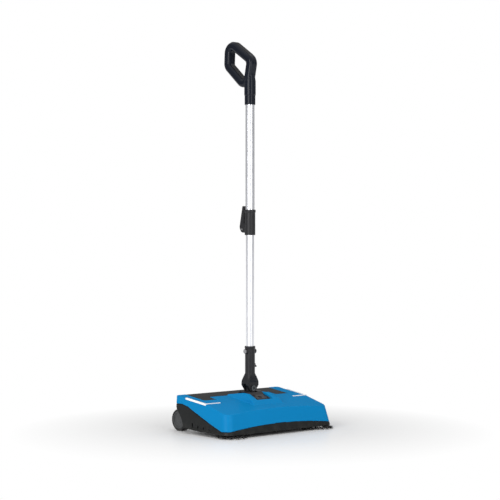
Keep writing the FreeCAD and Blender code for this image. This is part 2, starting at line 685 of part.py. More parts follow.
def screw(name, centre, seat, length, radius, head_radius, head_height):
    """Screw with a flat round head; its shank points down from the seat."""
    head = rod(f"{name}_head", "Z", head_radius, centre, (seat, f"{seat} + {head_height}"))
    shank = rod(f"{name}_shank", "Z", radius, centre, (f"{seat} - {length}", f"{seat} + 0.5"))
    return fuse(name, head, shank)


def make_base_screws():
    """Four screws into the bridge plate and the round cap in the block's bow."""
    screws = [screw(f"base_screw_{number}", centre, "plate_high + 8", "11", "2.05", "4", "3")
              for number, centre in enumerate(BASE_SCREWS)]
    part("joint_base_screws", doc_compound("base_screws", screws))
    cap = rod("cap_disc", "Z", "6.9", ("0", "handle_y - 46"), ("plate_high + 12", "pitch_z - 1"))
    recess = rod("cap_recess", "Z", "3", ("0", "handle_y - 46"), ("pitch_z - 4", "pitch_z"))
    part("base_cap", cut("cap_finished", cap, recess))


def doc_compound(name, solids):
    """Separate solids kept together in one node."""
    group = doc.addObject("Part::Compound", name)
    group.Links = solids
    return group


make_joint_base()
make_base_screws()
part("pitch_axle", rod("axle_rod", "X", "axle_radius", ("handle_y", "pitch_z"),
                       (f"-({BASE_HALF})", BASE_HALF)))


def make_knuckle():
    """Barrel on the pitch axle with a tongue up to the roll bolt."""
    reach = "cheek_inner - slip"
    barrel = rod("knuckle_barrel", "X", "barrel_radius", ("handle_y", "pitch_z"), (f"-({reach})", reach))
    tongue = box("knuckle_tongue", ("-tongue_radius", "tongue_radius"),
                 ("handle_y - tongue_half", "handle_y + tongue_half"), ("pitch_z", "roll_z"))
    end = rod("knuckle_end", "Y", "tongue_radius", ("0", "roll_z"),
              ("handle_y - tongue_half", "handle_y + tongue_half"))
    axle_hole = rod("knuckle_axle_hole", "X", "axle_radius + running", ("handle_y", "pitch_z"), ACROSS)
    bolt_hole = rod("knuckle_bolt_hole", "Y", "bolt_radius + running", ("0", "roll_z"), ACROSS)
    part("knuckle", cut("knuckle_bored", fuse("knuckle_body", barrel, tongue, end), axle_hole, bolt_hole))


make_knuckle()

# Yoke -----------------------------------------------------------------------------------------------

YOKE_DEPTH = ("handle_y - yoke_half_depth", "handle_y + yoke_half_depth")


def make_yoke():
    """Fork over the knuckle that narrows to a round socket for the lower tube."""
    nose = rod("yoke_nose_round", "Y", "yoke_nose", ("0", "roll_z"), YOKE_DEPTH)
    block = prism("yoke_block", "XZ", [
        ("-11", "roll_z - 7.5"),
        ("11", "roll_z - 7.5"),
        ("yoke_half_width", "yoke_shoulder - 3", "3"),
        ("yoke_half_width", "yoke_shoulder + 6", "3"),
        ("yoke_radius - 1.5", "yoke_waist"),
        ("-(yoke_radius - 1.5)", "yoke_waist"),
        ("-yoke_half_width", "yoke_shoulder + 6", "3"),
        ("-yoke_half_width", "yoke_shoulder - 3", "3"),
    ], YOKE_DEPTH)
    stem = rod("yoke_stem", "Z", "yoke_radius", ("0", "handle_y"), ("yoke_shoulder + 8", "yoke_top"))
    collar = rod("yoke_collar", "Z", "yoke_radius + 1.2", ("0", "handle_y"), ("yoke_top - 7", "yoke_top"))
    ears = rod("yoke_ears", "X", "8.5", ("handle_y", "yoke_top - 16"), ("-19", "19"))
    ribs = [box(f"yoke_rib_{number}", ("-14", "14"),
                ("handle_y - yoke_half_depth - 1.5", "handle_y - yoke_half_depth + 2"),
                (f"yoke_shoulder + {8 + 5 * number}",
                 f"yoke_shoulder + {10 + 5 * number}")) for number in range(4)]
    slot = box("yoke_slot", ACROSS,
               ("handle_y - tongue_half - slip", "handle_y + tongue_half + slip"),
               ("0", "roll_z + tongue_radius + 2"))
    bolt_hole = rod("yoke_bolt_hole", "Y", "bolt_radius", ("0", "roll_z"), ACROSS)
    head_seat = rod("yoke_head_seat", "Y", "9", ("0", "roll_z"), ("-60", "handle_y - yoke_half_depth + 3"))
    socket = rod("yoke_socket", "Z", "lower_radius", ("0", "handle_y"), ("lower_foot", "yoke_top + 5"))
    cross = rod("yoke_cross_hole", "X", "3", ("handle_y", "yoke_top - 16"), ACROSS)
    flare = fuse("yoke_flare", cone("yoke_taper", "Z", ("yoke_half_width + 6", "yoke_radius - 0.2"),
                                    ("0", "handle_y"),
                                    ("yoke_shoulder + 5", "yoke_waist - 2")),
                 box("yoke_foot_room", ACROSS, ("-60", "80"), ("roll_z - 30", "yoke_shoulder + 5")))
    body = fuse("yoke_body", nose, common("yoke_flared", block, flare), stem, collar, ears, *ribs)
    part("yoke", cut("yoke_bored", body, slot, bolt_hole, head_seat, socket, cross))


make_yoke()


def make_roll_bolt():
    """Domed bolt through the fork and the tongue, and its nut at the back."""
    head = rod("bolt_head", "Y", "8.8", ("0", "roll_z"),
               ("handle_y - yoke_half_depth - 2.5", "handle_y - yoke_half_depth + 3"))
    socket = rod("bolt_socket", "Y", "4", ("0", "roll_z"), ("-60", "handle_y - yoke_half_depth"))
    shank = rod("bolt_shank", "Y", "bolt_radius", ("0", "roll_z"),
                ("handle_y - yoke_half_depth + 2", "handle_y + yoke_half_depth + 5"))
    part("roll_bolt", fuse("bolt_whole", cut("bolt_head_cut", head, socket), shank))
    nut = rod("nut_body", "Y", "7", ("0", "roll_z"),
              ("handle_y + yoke_half_depth", "handle_y + yoke_half_depth + 4"))
    nut_bore = rod("nut_bore", "Y", "bolt_radius", ("0", "roll_z"), ACROSS)
    part("roll_nut", cut("nut_bored", nut, nut_bore))


make_roll_bolt()


def make_cross_bolt():
    """Cross bolt with two round buttons that locks the lower tube in the yoke."""
    shank = rod("cross_shank", "X", "3", ("handle_y", "yoke_top - 16"), ("-20", "20"))
    buttons = [rod(f"cross_button_{side}", "X", "6.5", ("handle_y", "yoke_top - 16"),
                   side_span(side, "19", "22")) for side in (-1, 1)]
    part("yoke_cross_bolt", fuse("cross_whole", shank, *buttons))
    clip = prism("clip_block", "XZ", [
        ("yoke_radius - 1", "yoke_top - 66"),
        ("yoke_radius + 7", "yoke_top - 66"),
        ("yoke_radius + 8.5", "yoke_top - 62"),
        ("yoke_radius + 4", "yoke_top - 60"),
        ("yoke_radius + 3", "yoke_top - 54"),
        ("yoke_radius - 1", "yoke_top - 54"),
    ], ("handle_y - 5", "handle_y + 3"))
    part("yoke_clip", cut("clip_seated", clip, rod("clip_seat", "Z", "yoke_radius", ("0", "handle_y"),
                                                   ("yoke_shoulder", "yoke_top"))))


make_cross_bolt()

# Tubes and clamp ------------------------------------------------------------------------------------

STEM = ("0", "handle_y")


def make_tubes():
    """Lower tube in the yoke; the wider upper tube slides over it."""
    blank = tube("lower_pipe", "Z", "lower_radius", "lower_radius - tube_wall", STEM,
                 ("lower_foot", "lower_head"))
    cross = rod("lower_pipe_hole", "X", "3", ("handle_y", "yoke_top - 16"), ACROSS)
    part("lower_tube", cut("lower_pipe_drilled", blank, cross))
    part("lower_tube_cap", rod("lower_cap", "Z", "lower_radius", STEM, ("lower_head", "lower_head + 4")))
    part("upper_tube", tube("upper_pipe", "Z", "upper_radius", "lower_radius + tube_fit", STEM,
                            ("upper_foot", "upper_head")))


make_tubes()


def make_clamp():
    """Clamp on the foot of the upper tube, with two ears for the lever's pin."""
    sleeve = rod("clamp_sleeve", "Z", "clamp_radius", STEM, ("clamp_low", "clamp_high"))
    rim = rod("clamp_rim", "Z", "clamp_radius + 1.2", STEM, ("clamp_high - 8", "clamp_high"))
    ears = [prism(f"clamp_ear_{side}", "YZ", [
        ("handle_y + 8", "clamp_low + 6"),
        ("clamp_axis_y", "clamp_pin_z - 7"),
        ("clamp_axis_y + 7", "clamp_pin_z", "5"),
        ("clamp_axis_y", "clamp_pin_z + 8", "4"),
        ("handle_y + 8", "clamp_pin_z + 24"),
    ], side_span(side, "lever_half + slip", "lever_half + 4.5")) for side in (-1, 1)]
    pin_hole = rod("clamp_pin_hole", "X", "2.5", ("clamp_axis_y", "clamp_pin_z"), ACROSS)
    upper_bore = rod("clamp_upper_bore", "Z", "upper_radius", STEM, ("upper_foot", "clamp_high + 5"))
    lower_bore = rod("clamp_lower_bore", "Z", "lower_radius + tube_fit", STEM,
                     ("clamp_low - 5", "upper_foot + 1"))
    part("clamp_body", cut("clamp_bored", fuse("clamp_whole", sleeve, rim, *ears), pin_hole, upper_bore,
                           lower_bore))
    part("clamp_pin", rod("clamp_pin_rod", "X", "2.5", ("clamp_axis_y", "clamp_pin_z"),
                          ("-(lever_half + 4.5)", "lever_half + 4.5")))
    lever = prism("lever_plate", "YZ", [
        ("clamp_axis_y", "clamp_pin_z - 11", "3"),
        ("clamp_axis_y + 10", "clamp_pin_z - 7", "4"),
        ("clamp_axis_y + 17", "clamp_pin_z + 7", "6"),
        ("clamp_axis_y + 3", "clamp_high + 12", "2"),
        ("clamp_axis_y - 4", "clamp_high + 12", "2"),
        ("clamp_axis_y - 3.5", "clamp_pin_z + 14", "6"),
        ("clamp_axis_y - 7", "clamp_pin_z - 1", "3"),
    ], ("-lever_half", "lever_half"))
    part("clamp_lever", cut("lever_bored", lever, rod("lever_hole", "X", "2.5 + running",
                                                      ("clamp_axis_y", "clamp_pin_z"), ACROSS)))


make_clamp()

# Grip -----------------------------------------------------------------------------------------------


def loop_sketch():
    """Centre line of the hand loop in the plane of symmetry."""
    sketch = doc.addObject("Sketcher::SketchObject", "grip_centre_line")
    sketch.Placement = Placement(Vector(), Rotation(Vector(1, 1, 1), 120))
    draw(sketch, [
        ("handle_y + 9", "grip_low + 52", "grip_corner"),
        ("handle_y + 99", "grip_low + 130", "grip_corner"),
        ("handle_y + 95", "grip_low + 207", "grip_corner"),
        ("handle_y - 10", "grip_low + 138", "grip_corner"),
    ])
    return sketch


def offset_slab(name, centre_line, offset):
    """Slab inside the loop's centre line moved outwards by offset."""
    outline = doc.addObject("Part::Offset2D", f"{name}_outline")
    outline.Source = centre_line
    outline.setExpression("Value", ex(offset))
    outline.Fill = False
    slab = doc.addObject("Part::Extrusion", name)
    slab.Base = outline
    slab.DirMode = "Custom"
    slab.Dir = Vector(1, 0, 0)
    slab.Solid = True
    slab.setExpression("LengthFwd", ex("2 * grip_half"))
    slab.Symmetric = True
    return slab


def make_grip():
    """Hand loop in two shells on the socket, with soft pads and screws."""
    centre_line = loop_sketch()
    outer = offset_slab("loop_outer", centre_line, "grip_bar / 2")
    inner = offset_slab("loop_inner", centre_line, "-grip_bar / 2")
    ring = cut("loop_ring", outer, inner)
    doc.recompute()
    rounded = doc.addObject("Part::Fillet", "loop_rounded")
    rounded.Base = ring
    radius = num("grip_bar") / 2 - 4
    rim = [(number, radius, radius) for number, edge in enumerate(ring.Shape.Edges, start=1)
           if abs(abs(edge.CenterOfMass.x) - num("grip_half")) < 0.1]
    rounded.Edges = rim
    socket = rod("grip_socket", "Z", "socket_radius", STEM, ("grip_collar", "socket_top"))
    skirt = rod("grip_skirt", "Z", "socket_radius - 1.2", STEM, ("grip_low", "grip_collar + 1"))
    shoulder = cone("grip_shoulder", "Z", ("socket_radius", "grip_half - 4"), STEM,
                    ("socket_top", "socket_top + 40"))
    bore = rod("grip_bore", "Z", "upper_radius", STEM, ("grip_low - 5", "upper_head"))
    finger_room = offset_slab("loop_finger_room", centre_line, "-grip_bar / 2")
    pads = [make_pad("top_grip_pad", centre_line, 1), make_pad("inner_grip_pad", centre_line, -1)]
    screws = [grip_screw(f"grip_screw_{number}", y, z) for number, (y, z) in enumerate(GRIP_SCREWS)]
    whole = cut("grip_whole", fuse("grip_form", rounded, socket, skirt,
                                   cut("shoulder_cut", shoulder, finger_room)),
                bore, *pads, *[room for _, room in screws])
    for side, label in ((-1, "left_grip_shell"), (1, "right_grip_shell")):
        half = box(f"{label}_side", side_span(side, "0", "60"), ("-100", "200"),
                   ("grip_low - 10", "grip_low + 300"))
        part(label, common(f"{label}_solid", whole, half))
    part("top_grip_pad", pads[0])
    part("inner_grip_pad", pads[1])
    part("grip_screws", doc_compound("grip_screw_set", [solid for solid, _ in screws]))


GRIP_SCREWS = [("handle_y + 2", "grip_low + 86"), ("handle_y + 42", "grip_low + 173"),
               ("handle_y + 95", "grip_low + 160"), ("handle_y + 58", "grip_low + 94")]


def grip_screw(name, y, z):
    """Screw across the two shells, sunk from the right, and the room it takes."""
    head = rod(f"{name}_head", "X", "3", (y, z), ("grip_half - 7", "grip_half - 4"))
    shank = rod(f"{name}_shank", "X", "1.5", (y, z), ("-(grip_half - 5)", "grip_half - 6.5"))
    solid = fuse(name, head, shank)
    room = fuse(f"{name}_room", rod(f"{name}_head_room", "X", "3", (y, z),
                                    ("grip_half - 7", "grip_half + 5")),
                rod(f"{name}_shank_room", "X", "1.5", (y, z), ("-(grip_half - 5)", "grip_half - 6.5")))
    return solid, room


def make_pad(label, centre_line, side):
    """Soft pad let into the outside (1) of the top bar or the inside (-1) of the lower bar."""
    proud = offset_slab(f"{label}_proud", centre_line,
                        f"{side} * grip_bar / 2 + pad_proud" if side > 0
                        else "-(grip_bar / 2 + pad_proud)")
    sunk = offset_slab(f"{label}_sunk", centre_line,
                       f"{side} * grip_bar / 2 - pad_sunk" if side > 0
                       else "-(grip_bar / 2 - pad_sunk)")
    across = ("-(grip_half - 7)", "grip_half - 7")
    if side > 0:
        zone = box(f"{label}_zone", across, ("handle_y - 4", "handle_y + 84"),
                   ("grip_low + 150", "grip_low + 260"))
        return common(label + "_solid", cut(f"{label}_band", proud, sunk), zone)
    zone = box(f"{label}_zone", across, ("handle_y + 24", "handle_y + 80"),
               ("grip_low + 60", "grip_low + 132"))
    return common(label + "_solid", cut(f"{label}_band", sunk, proud), zone)


make_grip()

# Wheels and rollers ---------------------------------------------------------------------------------


def make_wheel(side, label):
    """Wheel with a dished hub, a tyre, a cap and its stub axle."""
    across = side_span(side, "wheel_inner", "wheel_inner + wheel_width")
    centre = ("wheel_y", "wheel_radius")
    rim = "wheel_radius - 6.5"
    disc = rod(f"{label}_disc", "X", rim, centre, across)
    dish = rod(f"{label}_dish", "X", f"{rim} - 4", centre,
               side_span(side, "wheel_inner + wheel_width - 3", "wheel_inner + wheel_width + 1"))
    boss = rod(f"{label}_boss", "X", "9", centre,
               side_span(side, "wheel_inner", "wheel_inner + wheel_width - 1.5"))
    hollow = rod(f"{label}_hollow", "X", f"{rim} - 4", centre,
                 side_span(side, "wheel_inner - 1", "wheel_inner + wheel_width - 7"))
    bore = rod(f"{label}_bore", "X", "stub_radius + running", centre,
               side_span(side, "wheel_inner - 1", "wheel_inner + wheel_width - 3"))
    rimmed = cut(f"{label}_rimmed", disc, dish, hollow)
    part(f"{label}_wheel_hub", cut(f"{label}_hub", fuse(f"{label}_hub_body", rimmed, boss), bore))
    part(f"{label}_wheel_tyre", tube(f"{label}_tread", "X", "wheel_radius", rim, centre, across))
    part(f"{label}_wheel_axle", rod(f"{label}_stub", "X", "stub_radius", centre,
                                    side_span(side, "wall_inner + 1", "wheel_inner + wheel_width - 4")))


def make_roller(side, label):
    """Small support roller ahead of the main brush."""
    centre = ("roller_y", "roller_radius")
    across = side_span(side, "roller_x - 7", "roller_x + 7")
    part(f"{label}_front_roller", tube(f"{label}_roller", "X", "roller_radius", "2 + running", centre,
                                       across))
    return rod(f"{label}_roller_pin", "X", "2", centre, side_span(side, "roller_x - 11", "roller_x + 11"))


roller_pins = []
for side_sign, side_name in ((-1, "left"), (1, "right")):
    make_wheel(side_sign, side_name)
    roller_pins.append(make_roller(side_sign, side_name))
part("front_roller_pins", doc_compound("roller_pin_set", roller_pins))

# Main brush and its drive ---------------------------------------------------------------------------

BRUSH_AXIS = ("brush_y", "brush_z")
MOTOR_AXIS = ("motor_y", "motor_z")
# Span of the cuts through the belt, pulleys and motor on the left.
DRIVE_SPAN = ("-230", "-100")


def make_brush():
    """Core with journals, a sleeve of bristles and bearings in the partitions."""
    core = rod("core_drum", "X", "core_radius", BRUSH_AXIS, ("-brush_half", "brush_half"))
    journals = rod("core_journals", "X", "journal_radius", BRUSH_AXIS,
                   ("belt_x - belt_width / 2 - 1", "wall_outer"))
    part("brush_core", fuse("core_whole", core, journals))
    part("brush_bristles", tube("bristle_sleeve", "X", "brush_radius", "core_radius", BRUSH_AXIS,
                                ("-brush_half + 3", "brush_half - 3")))
    for side, label in ((-1, "left"), (1, "right")):
        ring = tube(f"{label}_brush_ring", "X", "9", "journal_radius + running", BRUSH_AXIS,
                    side_span(side, "wall_inner", "wall_outer"))
        part(f"{label}_brush_bearing", ring)


def pulley(name, radius, bore, axis):
    """Flat belt pulley with two flanges."""
    low, high = "belt_x - belt_width / 2", "belt_x + belt_width / 2"
    drum = rod(f"{name}_drum", "X", radius, axis, (f"{low} - 0.7", f"{high} + 0.7"))
    hole = rod(f"{name}_hole", "X", bore, axis, DRIVE_SPAN)
    return cut(name, drum, hole)


def belt_loop(name, spread):
    """Form inside a belt round the two pulleys, both grown by spread."""
    run = ("belt_x - belt_width / 2", "belt_x + belt_width / 2")
    big = f"brush_pulley_radius + {spread}"
    small = f"motor_pulley_radius + {spread}"
    ends = [rod(f"{name}_big", "X", big, BRUSH_AXIS, run),
            rod(f"{name}_small", "X", small, MOTOR_AXIS, run)]
    span_y, span_z = num("motor_y - brush_y"), num("motor_z - brush_z")
    length = math.hypot(span_y, span_z)
    lean = math.atan2(span_z, span_y)
    open_angle = math.acos((num(big) - num(small)) / length)
    corners = []
    for axis, radius, angle in ((BRUSH_AXIS, big, lean - open_angle),
                                (MOTOR_AXIS, small, lean - open_angle),
                                (MOTOR_AXIS, small, lean + open_angle),
                                (BRUSH_AXIS, big, lean + open_angle)):
        corners.append((f"{axis[0]} + ({radius}) * {math.cos(angle):.6f}",
                        f"{axis[1]} + ({radius}) * {math.sin(angle):.6f}"))
    return fuse(name, *ends, prism(f"{name}_web", "YZ", corners, run))


def make_drive():
    """Drive motor beside the brush chamber, with its belt and two pulleys."""
    part("brush_pulley", pulley("big_pulley", "brush_pulley_radius", "journal_radius", BRUSH_AXIS))
    part("motor_pulley", pulley("small_pulley", "motor_pulley_radius", "2", MOTOR_AXIS))
    part("drive_belt", cut("belt_ring", belt_loop("belt_outer", "0.05 + belt_thick"),
                           belt_loop("belt_inner", "0.05")))
    face = "-(belt_x - belt_width / 2 - 3)"
    can = rod("motor_can", "X", "motor_radius", MOTOR_AXIS, (f"-({face}) - 34", f"-({face})"))
    boss = rod("motor_boss", "X", "6", MOTOR_AXIS, (f"-({face}) - 0.5", f"-({face}) + 1.2"))
    shaft = rod("motor_shaft_room", "X", "2 + running", MOTOR_AXIS, (f"-({face}) - 10", f"-({face}) + 3"))
    part("drive_motor", cut("motor_bored", fuse("motor_form", can, boss), shaft))
    part("motor_shaft", rod("motor_spindle", "X", "2", MOTOR_AXIS,
                            (f"-({face}) - 9", "belt_x + belt_width / 2 + 1.5")))
    saddle = box("motor_saddle_block", (f"-({face}) - 24", f"-({face}) - 8"),
                 ("motor_y - 16", "motor_y + 16"), ("bottom_rear + tray_wall - 2", "motor_z - 6"))
    seat = rod("motor_saddle_seat", "X", "motor_radius", MOTOR_AXIS, DRIVE_SPAN)
    part("motor_saddle", cut("motor_saddle_cut", saddle, seat))


def make_side_brush(side, label):
    """Bristle ring on a hub, its shaft, and the gear motor that turns it."""
    centre = (f"{side} * side_brush_x", "side_brush_y")
    roof = "bottom_front + 12"
    disc = rod(f"{label}_hub_disc", "Z", "hub_radius", centre, ("9", "bottom_front + 7"))
    shaft = rod(f"{label}_hub_shaft", "Z", "3", centre, ("bottom_front + 6", f"{roof} + 8"))
    part(f"{label}_side_brush_hub", fuse(f"{label}_hub_whole", disc, shaft))
    ring = turned(f"{label}_bristle_ring", (centre[0], centre[1], "0"), "Z", [
        ("12", "6"),
        ("side_brush_radius - 6", "0.3"),
        ("side_brush_radius", "0.3"),
        ("side_brush_radius", "5"),
        ("hub_radius", "9"),
        ("12", "9"),
    ])
    part(f"{label}_side_bristles", ring)
    can = rod(f"{label}_gear_can", "Z", "gear_radius", centre, (roof, f"{roof} + 26"))
    bore = rod(f"{label}_gear_bore", "Z", "3 + running", centre, (f"{roof} - 1", f"{roof} + 9"))
    part(f"{label}_side_motor", cut(f"{label}_gear_motor", can, bore))


make_brush()
make_drive()
make_side_brush(-1, "left")
make_side_brush(1, "right")

# Dust bin -------------------------------------------------------------------------------------------


def make_bin():
    """Bin that slides out to the rear, its lid between the rear rails, and a pull."""
    def top_z(y):
        return f"fold_z + (({y}) - fold_y) * rear_slope"

    def lid_foot(y):
        return f"{top_z(y)} - lid_thick - lid_drop"

    def tub(name, inset):
        return prism(name, "YZ", [
            (f"bin_mouth_y + {inset}", f"bin_low + {inset}"),
            (f"flank_foot + 6 - {inset}", f"bin_low + {inset}"),
            (f"rear_high - 3 - {inset}", "parting_rear - 9"),
            (f"rear_high - 1 - {inset}", "parting_rear + 6"),
            (f"rear_high - 1 - {inset}", f"{lid_foot('rear_high - 1')} - {inset}"),
            (f"bin_front + 2 + {inset}", f"{lid_foot('bin_front + 2')} - {inset}"),
            (f"bin_front + 2 + {inset}", f"bin_step - {inset}"),
            (f"bin_mouth_y + {inset}", f"bin_step - {inset}"),
        ], (f"-(bin_half - {inset})", f"bin_half - {inset}"))
    mouth = box("bin_mouth", ("-(bin_half - 10)", "bin_half - 10"), ("bin_mouth_y - 5", "bin_mouth_y + 5"),
                ("bin_low + 6", "bin_step - 8"))
    part("dust_bin", cut("bin_hollowed", tub("bin_tub", "0"), tub("bin_inside", "bin_wall"), mouth))
    edge_front = "bin_front + seam"
    edge_rear = "rear_high - 0.6"

    def lid_outline(y_low, y_high):
        return [(y_low, lid_foot(y_low)), (y_high, lid_foot(y_high)),
                (y_high, f"{top_z(y_high)} - lid_drop"), (y_low, f"{top_z(y_low)} - lid_drop")]

    slab = prism("lid_slab", "YZ", lid_outline(edge_front, edge_rear),
                 ("-(notch_half - seam)", "notch_half - seam"))
    lobes = []
    for side in (-1, 1):
        lobes.append(prism(f"lid_lobe_{side}", "YZ", lid_outline("lobe_front + seam", f"{edge_front} + 1"),
                           side_span(side, "lobe_inner + seam", "notch_half - seam")))
    part("bin_lid", common("lid_trimmed", fuse("lid_form", slab, *lobes), hull("lid_hull", "0.4")))
    pull = box("pull_bar", ("-48", "48"), ("rear_high - 1", "rear_high + 11"),
               ("rear_top - 20", "rear_top - 16"))
    lip = box("pull_lip", ("-48", "48"), ("rear_high + 8", "rear_high + 11"),
              ("rear_top - 26", "rear_top - 16"))
    part("bin_grip", fuse("pull_whole", pull, lip))


make_bin()

# Power, trim and fasteners --------------------------------------------------------------------------


def make_power():
    """Battery and control board in the right-hand bay, charging socket and rocker switch in its flank."""
    part("battery_pack", box("battery_block", ("wall_outer + 3", "wall_outer + 33"), ("-34", "60"),
                             ("floor_rear", "floor_rear + 50")))
    part("control_board", box("board_sheet", ("wall_outer + 5", "wall_outer + 31"), ("-30", "30"),
                              ("floor_rear + 50.3", "floor_rear + 51.9")))


INLET_AXIS = ("inlet_y", "inlet_z")
ROCKER_AXIS_X = "half_rear_low - 5.5"


def make_switch():
    """Rocker switch in its frame, and the barrel of the charging socket, in the right-hand flank."""
    frame_x = ("half_rear_low - 16", "half_rear_low - 1.5")
    frame = box("switch_block", frame_x, ("rocker_y - rocker_half - 2", "rocker_y + rocker_half + 2"),
                ("rocker_z - 7", "rocker_z + 7"))
    room = box("switch_room", ("half_rear_low - 13", "half_rear_low + 5"),
               ("rocker_y - rocker_half - slip", "rocker_y + rocker_half + slip"),
               ("rocker_z - 5 - slip", "rocker_z + 5 + slip"))
    pin_room = rod("switch_pin_room", "Z", "1 + running", (ROCKER_AXIS_X, "rocker_y"),
                   ("rocker_z - 6", "rocker_z + 6"))
    part("switch_frame", cut("switch_frame_cut", frame, room, pin_room))
    rocker = prism("rocker_form", "XY", [
        (f"{ROCKER_AXIS_X} - 3", "rocker_y - rocker_half + 1"),
        (f"{ROCKER_AXIS_X} + 4.2", "rocker_y - rocker_half + 0.6"),
        (f"{ROCKER_AXIS_X} + 2.8", "rocker_y"),
        (f"{ROCKER_AXIS_X} + 4.2", "rocker_y + rocker_half - 0.6"),
        (f"{ROCKER_AXIS_X} - 3", "rocker_y + rocker_half - 1"),
    ], ("rocker_z - 5", "rocker_z + 5"))
    pin = rod("rocker_pin", "Z", "1", (ROCKER_AXIS_X, "rocker_y"), ("rocker_z - 5.9", "rocker_z + 5.9"))
    part("power_switch", fuse("rocker_whole", rocker, pin))
    barrel = rod("inlet_barrel", "X", "inlet_radius", INLET_AXIS,
                 ("half_rear_low - 18", "half_rear_low - 2"))
    collar = rod("inlet_collar", "X", "inlet_radius + 1.8", INLET_AXIS,
                 ("half_rear_low - 9", "half_rear_low - 2"))
    hole = rod("inlet_hole", "X", "plug_radius", INLET_AXIS, ("half_rear_low - 12", "half_rear_low + 5"))
    part("charging_socket", cut("inlet_bored", fuse("inlet_body", barrel, collar), hole))


make_power()
make_switch()


def make_trim():
    """Bright L-shaped strips: a bead over the side crease and a bar inwards along the fold."""
    for side, label in ((-1, "left"), (1, "right")):
        under_top = prism(f"{label}_under_top", "YZ", [
            ("fold_y - 20", "fold_z - 20"),
            ("fold_y + 120", "fold_z - 20"),
            ("fold_y + 120", "fold_z + 120 * rear_slope"),
            ("fold_y - 20", "fold_z - 20 * rear_slope"),
        ], side_span(side, "100", "240"))
        head = common(f"{label}_strip_seat", hull(f"{label}_seat_form", "0"), under_top)
        ring = cut(f"{label}_bead_ring", hull(f"{label}_bead_outer", "(-strip_proud)"),
                   hull(f"{label}_bead_inner", "strip_width"))
        band = prism(f"{label}_bead_band", "YZ", [
            ("fold_y + 1", "fold_z + strip_rise - strip_height"),
            ("fold_y + strip_reach", "fold_z + strip_reach * rear_slope + strip_rise - strip_height"),
            ("fold_y + strip_reach", "fold_z + strip_reach * rear_slope + strip_rise"),
            ("fold_y + 1", "fold_z + strip_rise"),
        ], side_span(side, "150", "240"))
        bar = box(f"{label}_bar", side_span(side, "strip_inner", "240"),
                  ("fold_y + 1", "fold_y + 1 + strip_width"),
                  ("fold_z - 1", "fold_z + strip_width * rear_slope + strip_rise"))
        legs = fuse(f"{label}_legs", common(f"{label}_bead", ring, band),
                    common(f"{label}_bar_form", bar, hull(f"{label}_bar_end", "(-strip_proud)")))
        part(f"{label}_trim_strip", cut(f"{label}_strip", legs, head))


make_trim()


def make_lip():
    """Rubber lip behind the main brush."""
    part("sweep_lip", box("lip_blade", ("-(wall_inner - 2)", "wall_inner - 2"),
                          (f"{OPENING_REAR} + 1", f"{OPENING_REAR} + 3"), ("2.5", "bottom_front + 1.5")))


make_lip()

# Checks and export ----------------------------------------------------------------------------------


def check(solids):
    """Stops when a feature failed or a finished sub-part is empty or invalid."""
    for item in doc.Objects:
        if "Invalid" in item.State or "Error" in item.State:
            raise RuntimeError(f"{item.Name} failed: {item.State}")
    for solid in solids:
        shape = solid.Shape
        if shape.isNull() or not shape.isValid() or not shape.Solids:
            raise RuntimeError(f"{solid.Label} has no valid shape")


doc.recompute()
check(PARTS)
os.makedirs("parts", exist_ok=True)
for solid in PARTS:
    solid.Shape.exportStep(os.path.join("parts", f"{solid.Label}.step"))
    print(f"{solid.Label}: {len(solid.Shape.Solids)} solid(s), {solid.Shape.Volume:.0f} mm3")
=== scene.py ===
# %% [markdown]
# # A cordless carpet sweeper, dressed for its portrait
# The engineering model arrives as a set of closed solids. This lesson gives every one of them the finish
# that the real object has, and builds the pieces that solids can't show well: softly moulded covers,
# bristles, tread and ribbed grips. Everything is in metres, +Z is up and -Y is the front of the head.

# %% Load the engineering model
import json
import math
import random

import bpy
from mathutils import Matrix, Vector


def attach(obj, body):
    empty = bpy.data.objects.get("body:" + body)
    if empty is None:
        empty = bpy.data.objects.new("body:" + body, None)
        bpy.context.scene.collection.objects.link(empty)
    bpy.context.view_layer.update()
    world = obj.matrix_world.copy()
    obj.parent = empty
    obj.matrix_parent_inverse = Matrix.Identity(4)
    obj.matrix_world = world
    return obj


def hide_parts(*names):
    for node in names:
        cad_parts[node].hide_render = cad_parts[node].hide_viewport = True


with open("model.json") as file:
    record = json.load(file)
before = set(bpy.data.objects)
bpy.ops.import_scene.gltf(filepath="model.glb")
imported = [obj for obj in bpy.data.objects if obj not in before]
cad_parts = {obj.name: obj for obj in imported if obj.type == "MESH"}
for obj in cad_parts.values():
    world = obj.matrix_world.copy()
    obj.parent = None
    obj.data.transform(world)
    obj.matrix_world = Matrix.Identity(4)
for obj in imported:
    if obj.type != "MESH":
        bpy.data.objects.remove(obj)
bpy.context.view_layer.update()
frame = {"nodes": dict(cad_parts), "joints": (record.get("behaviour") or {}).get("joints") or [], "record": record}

record = frame["record"]
BODY_OF = {node: body for body, nodes in record["behaviour"]["bodies"].items() for node in nodes}
SLOT_OF = {row["node"]: row["material_slot"] for row in record["subparts"]}
PIVOT_OF = {joint["name"]: joint["pos_m"] for joint in frame["joints"] if "pos_m" in joint}

# %% [markdown]
# ## Camera
# A long lens from about four metres keeps upright things upright, as in a catalogue picture. The camera is
# level with the middle of the handle, so the head is seen from slightly above and the grip from slightly
# below.

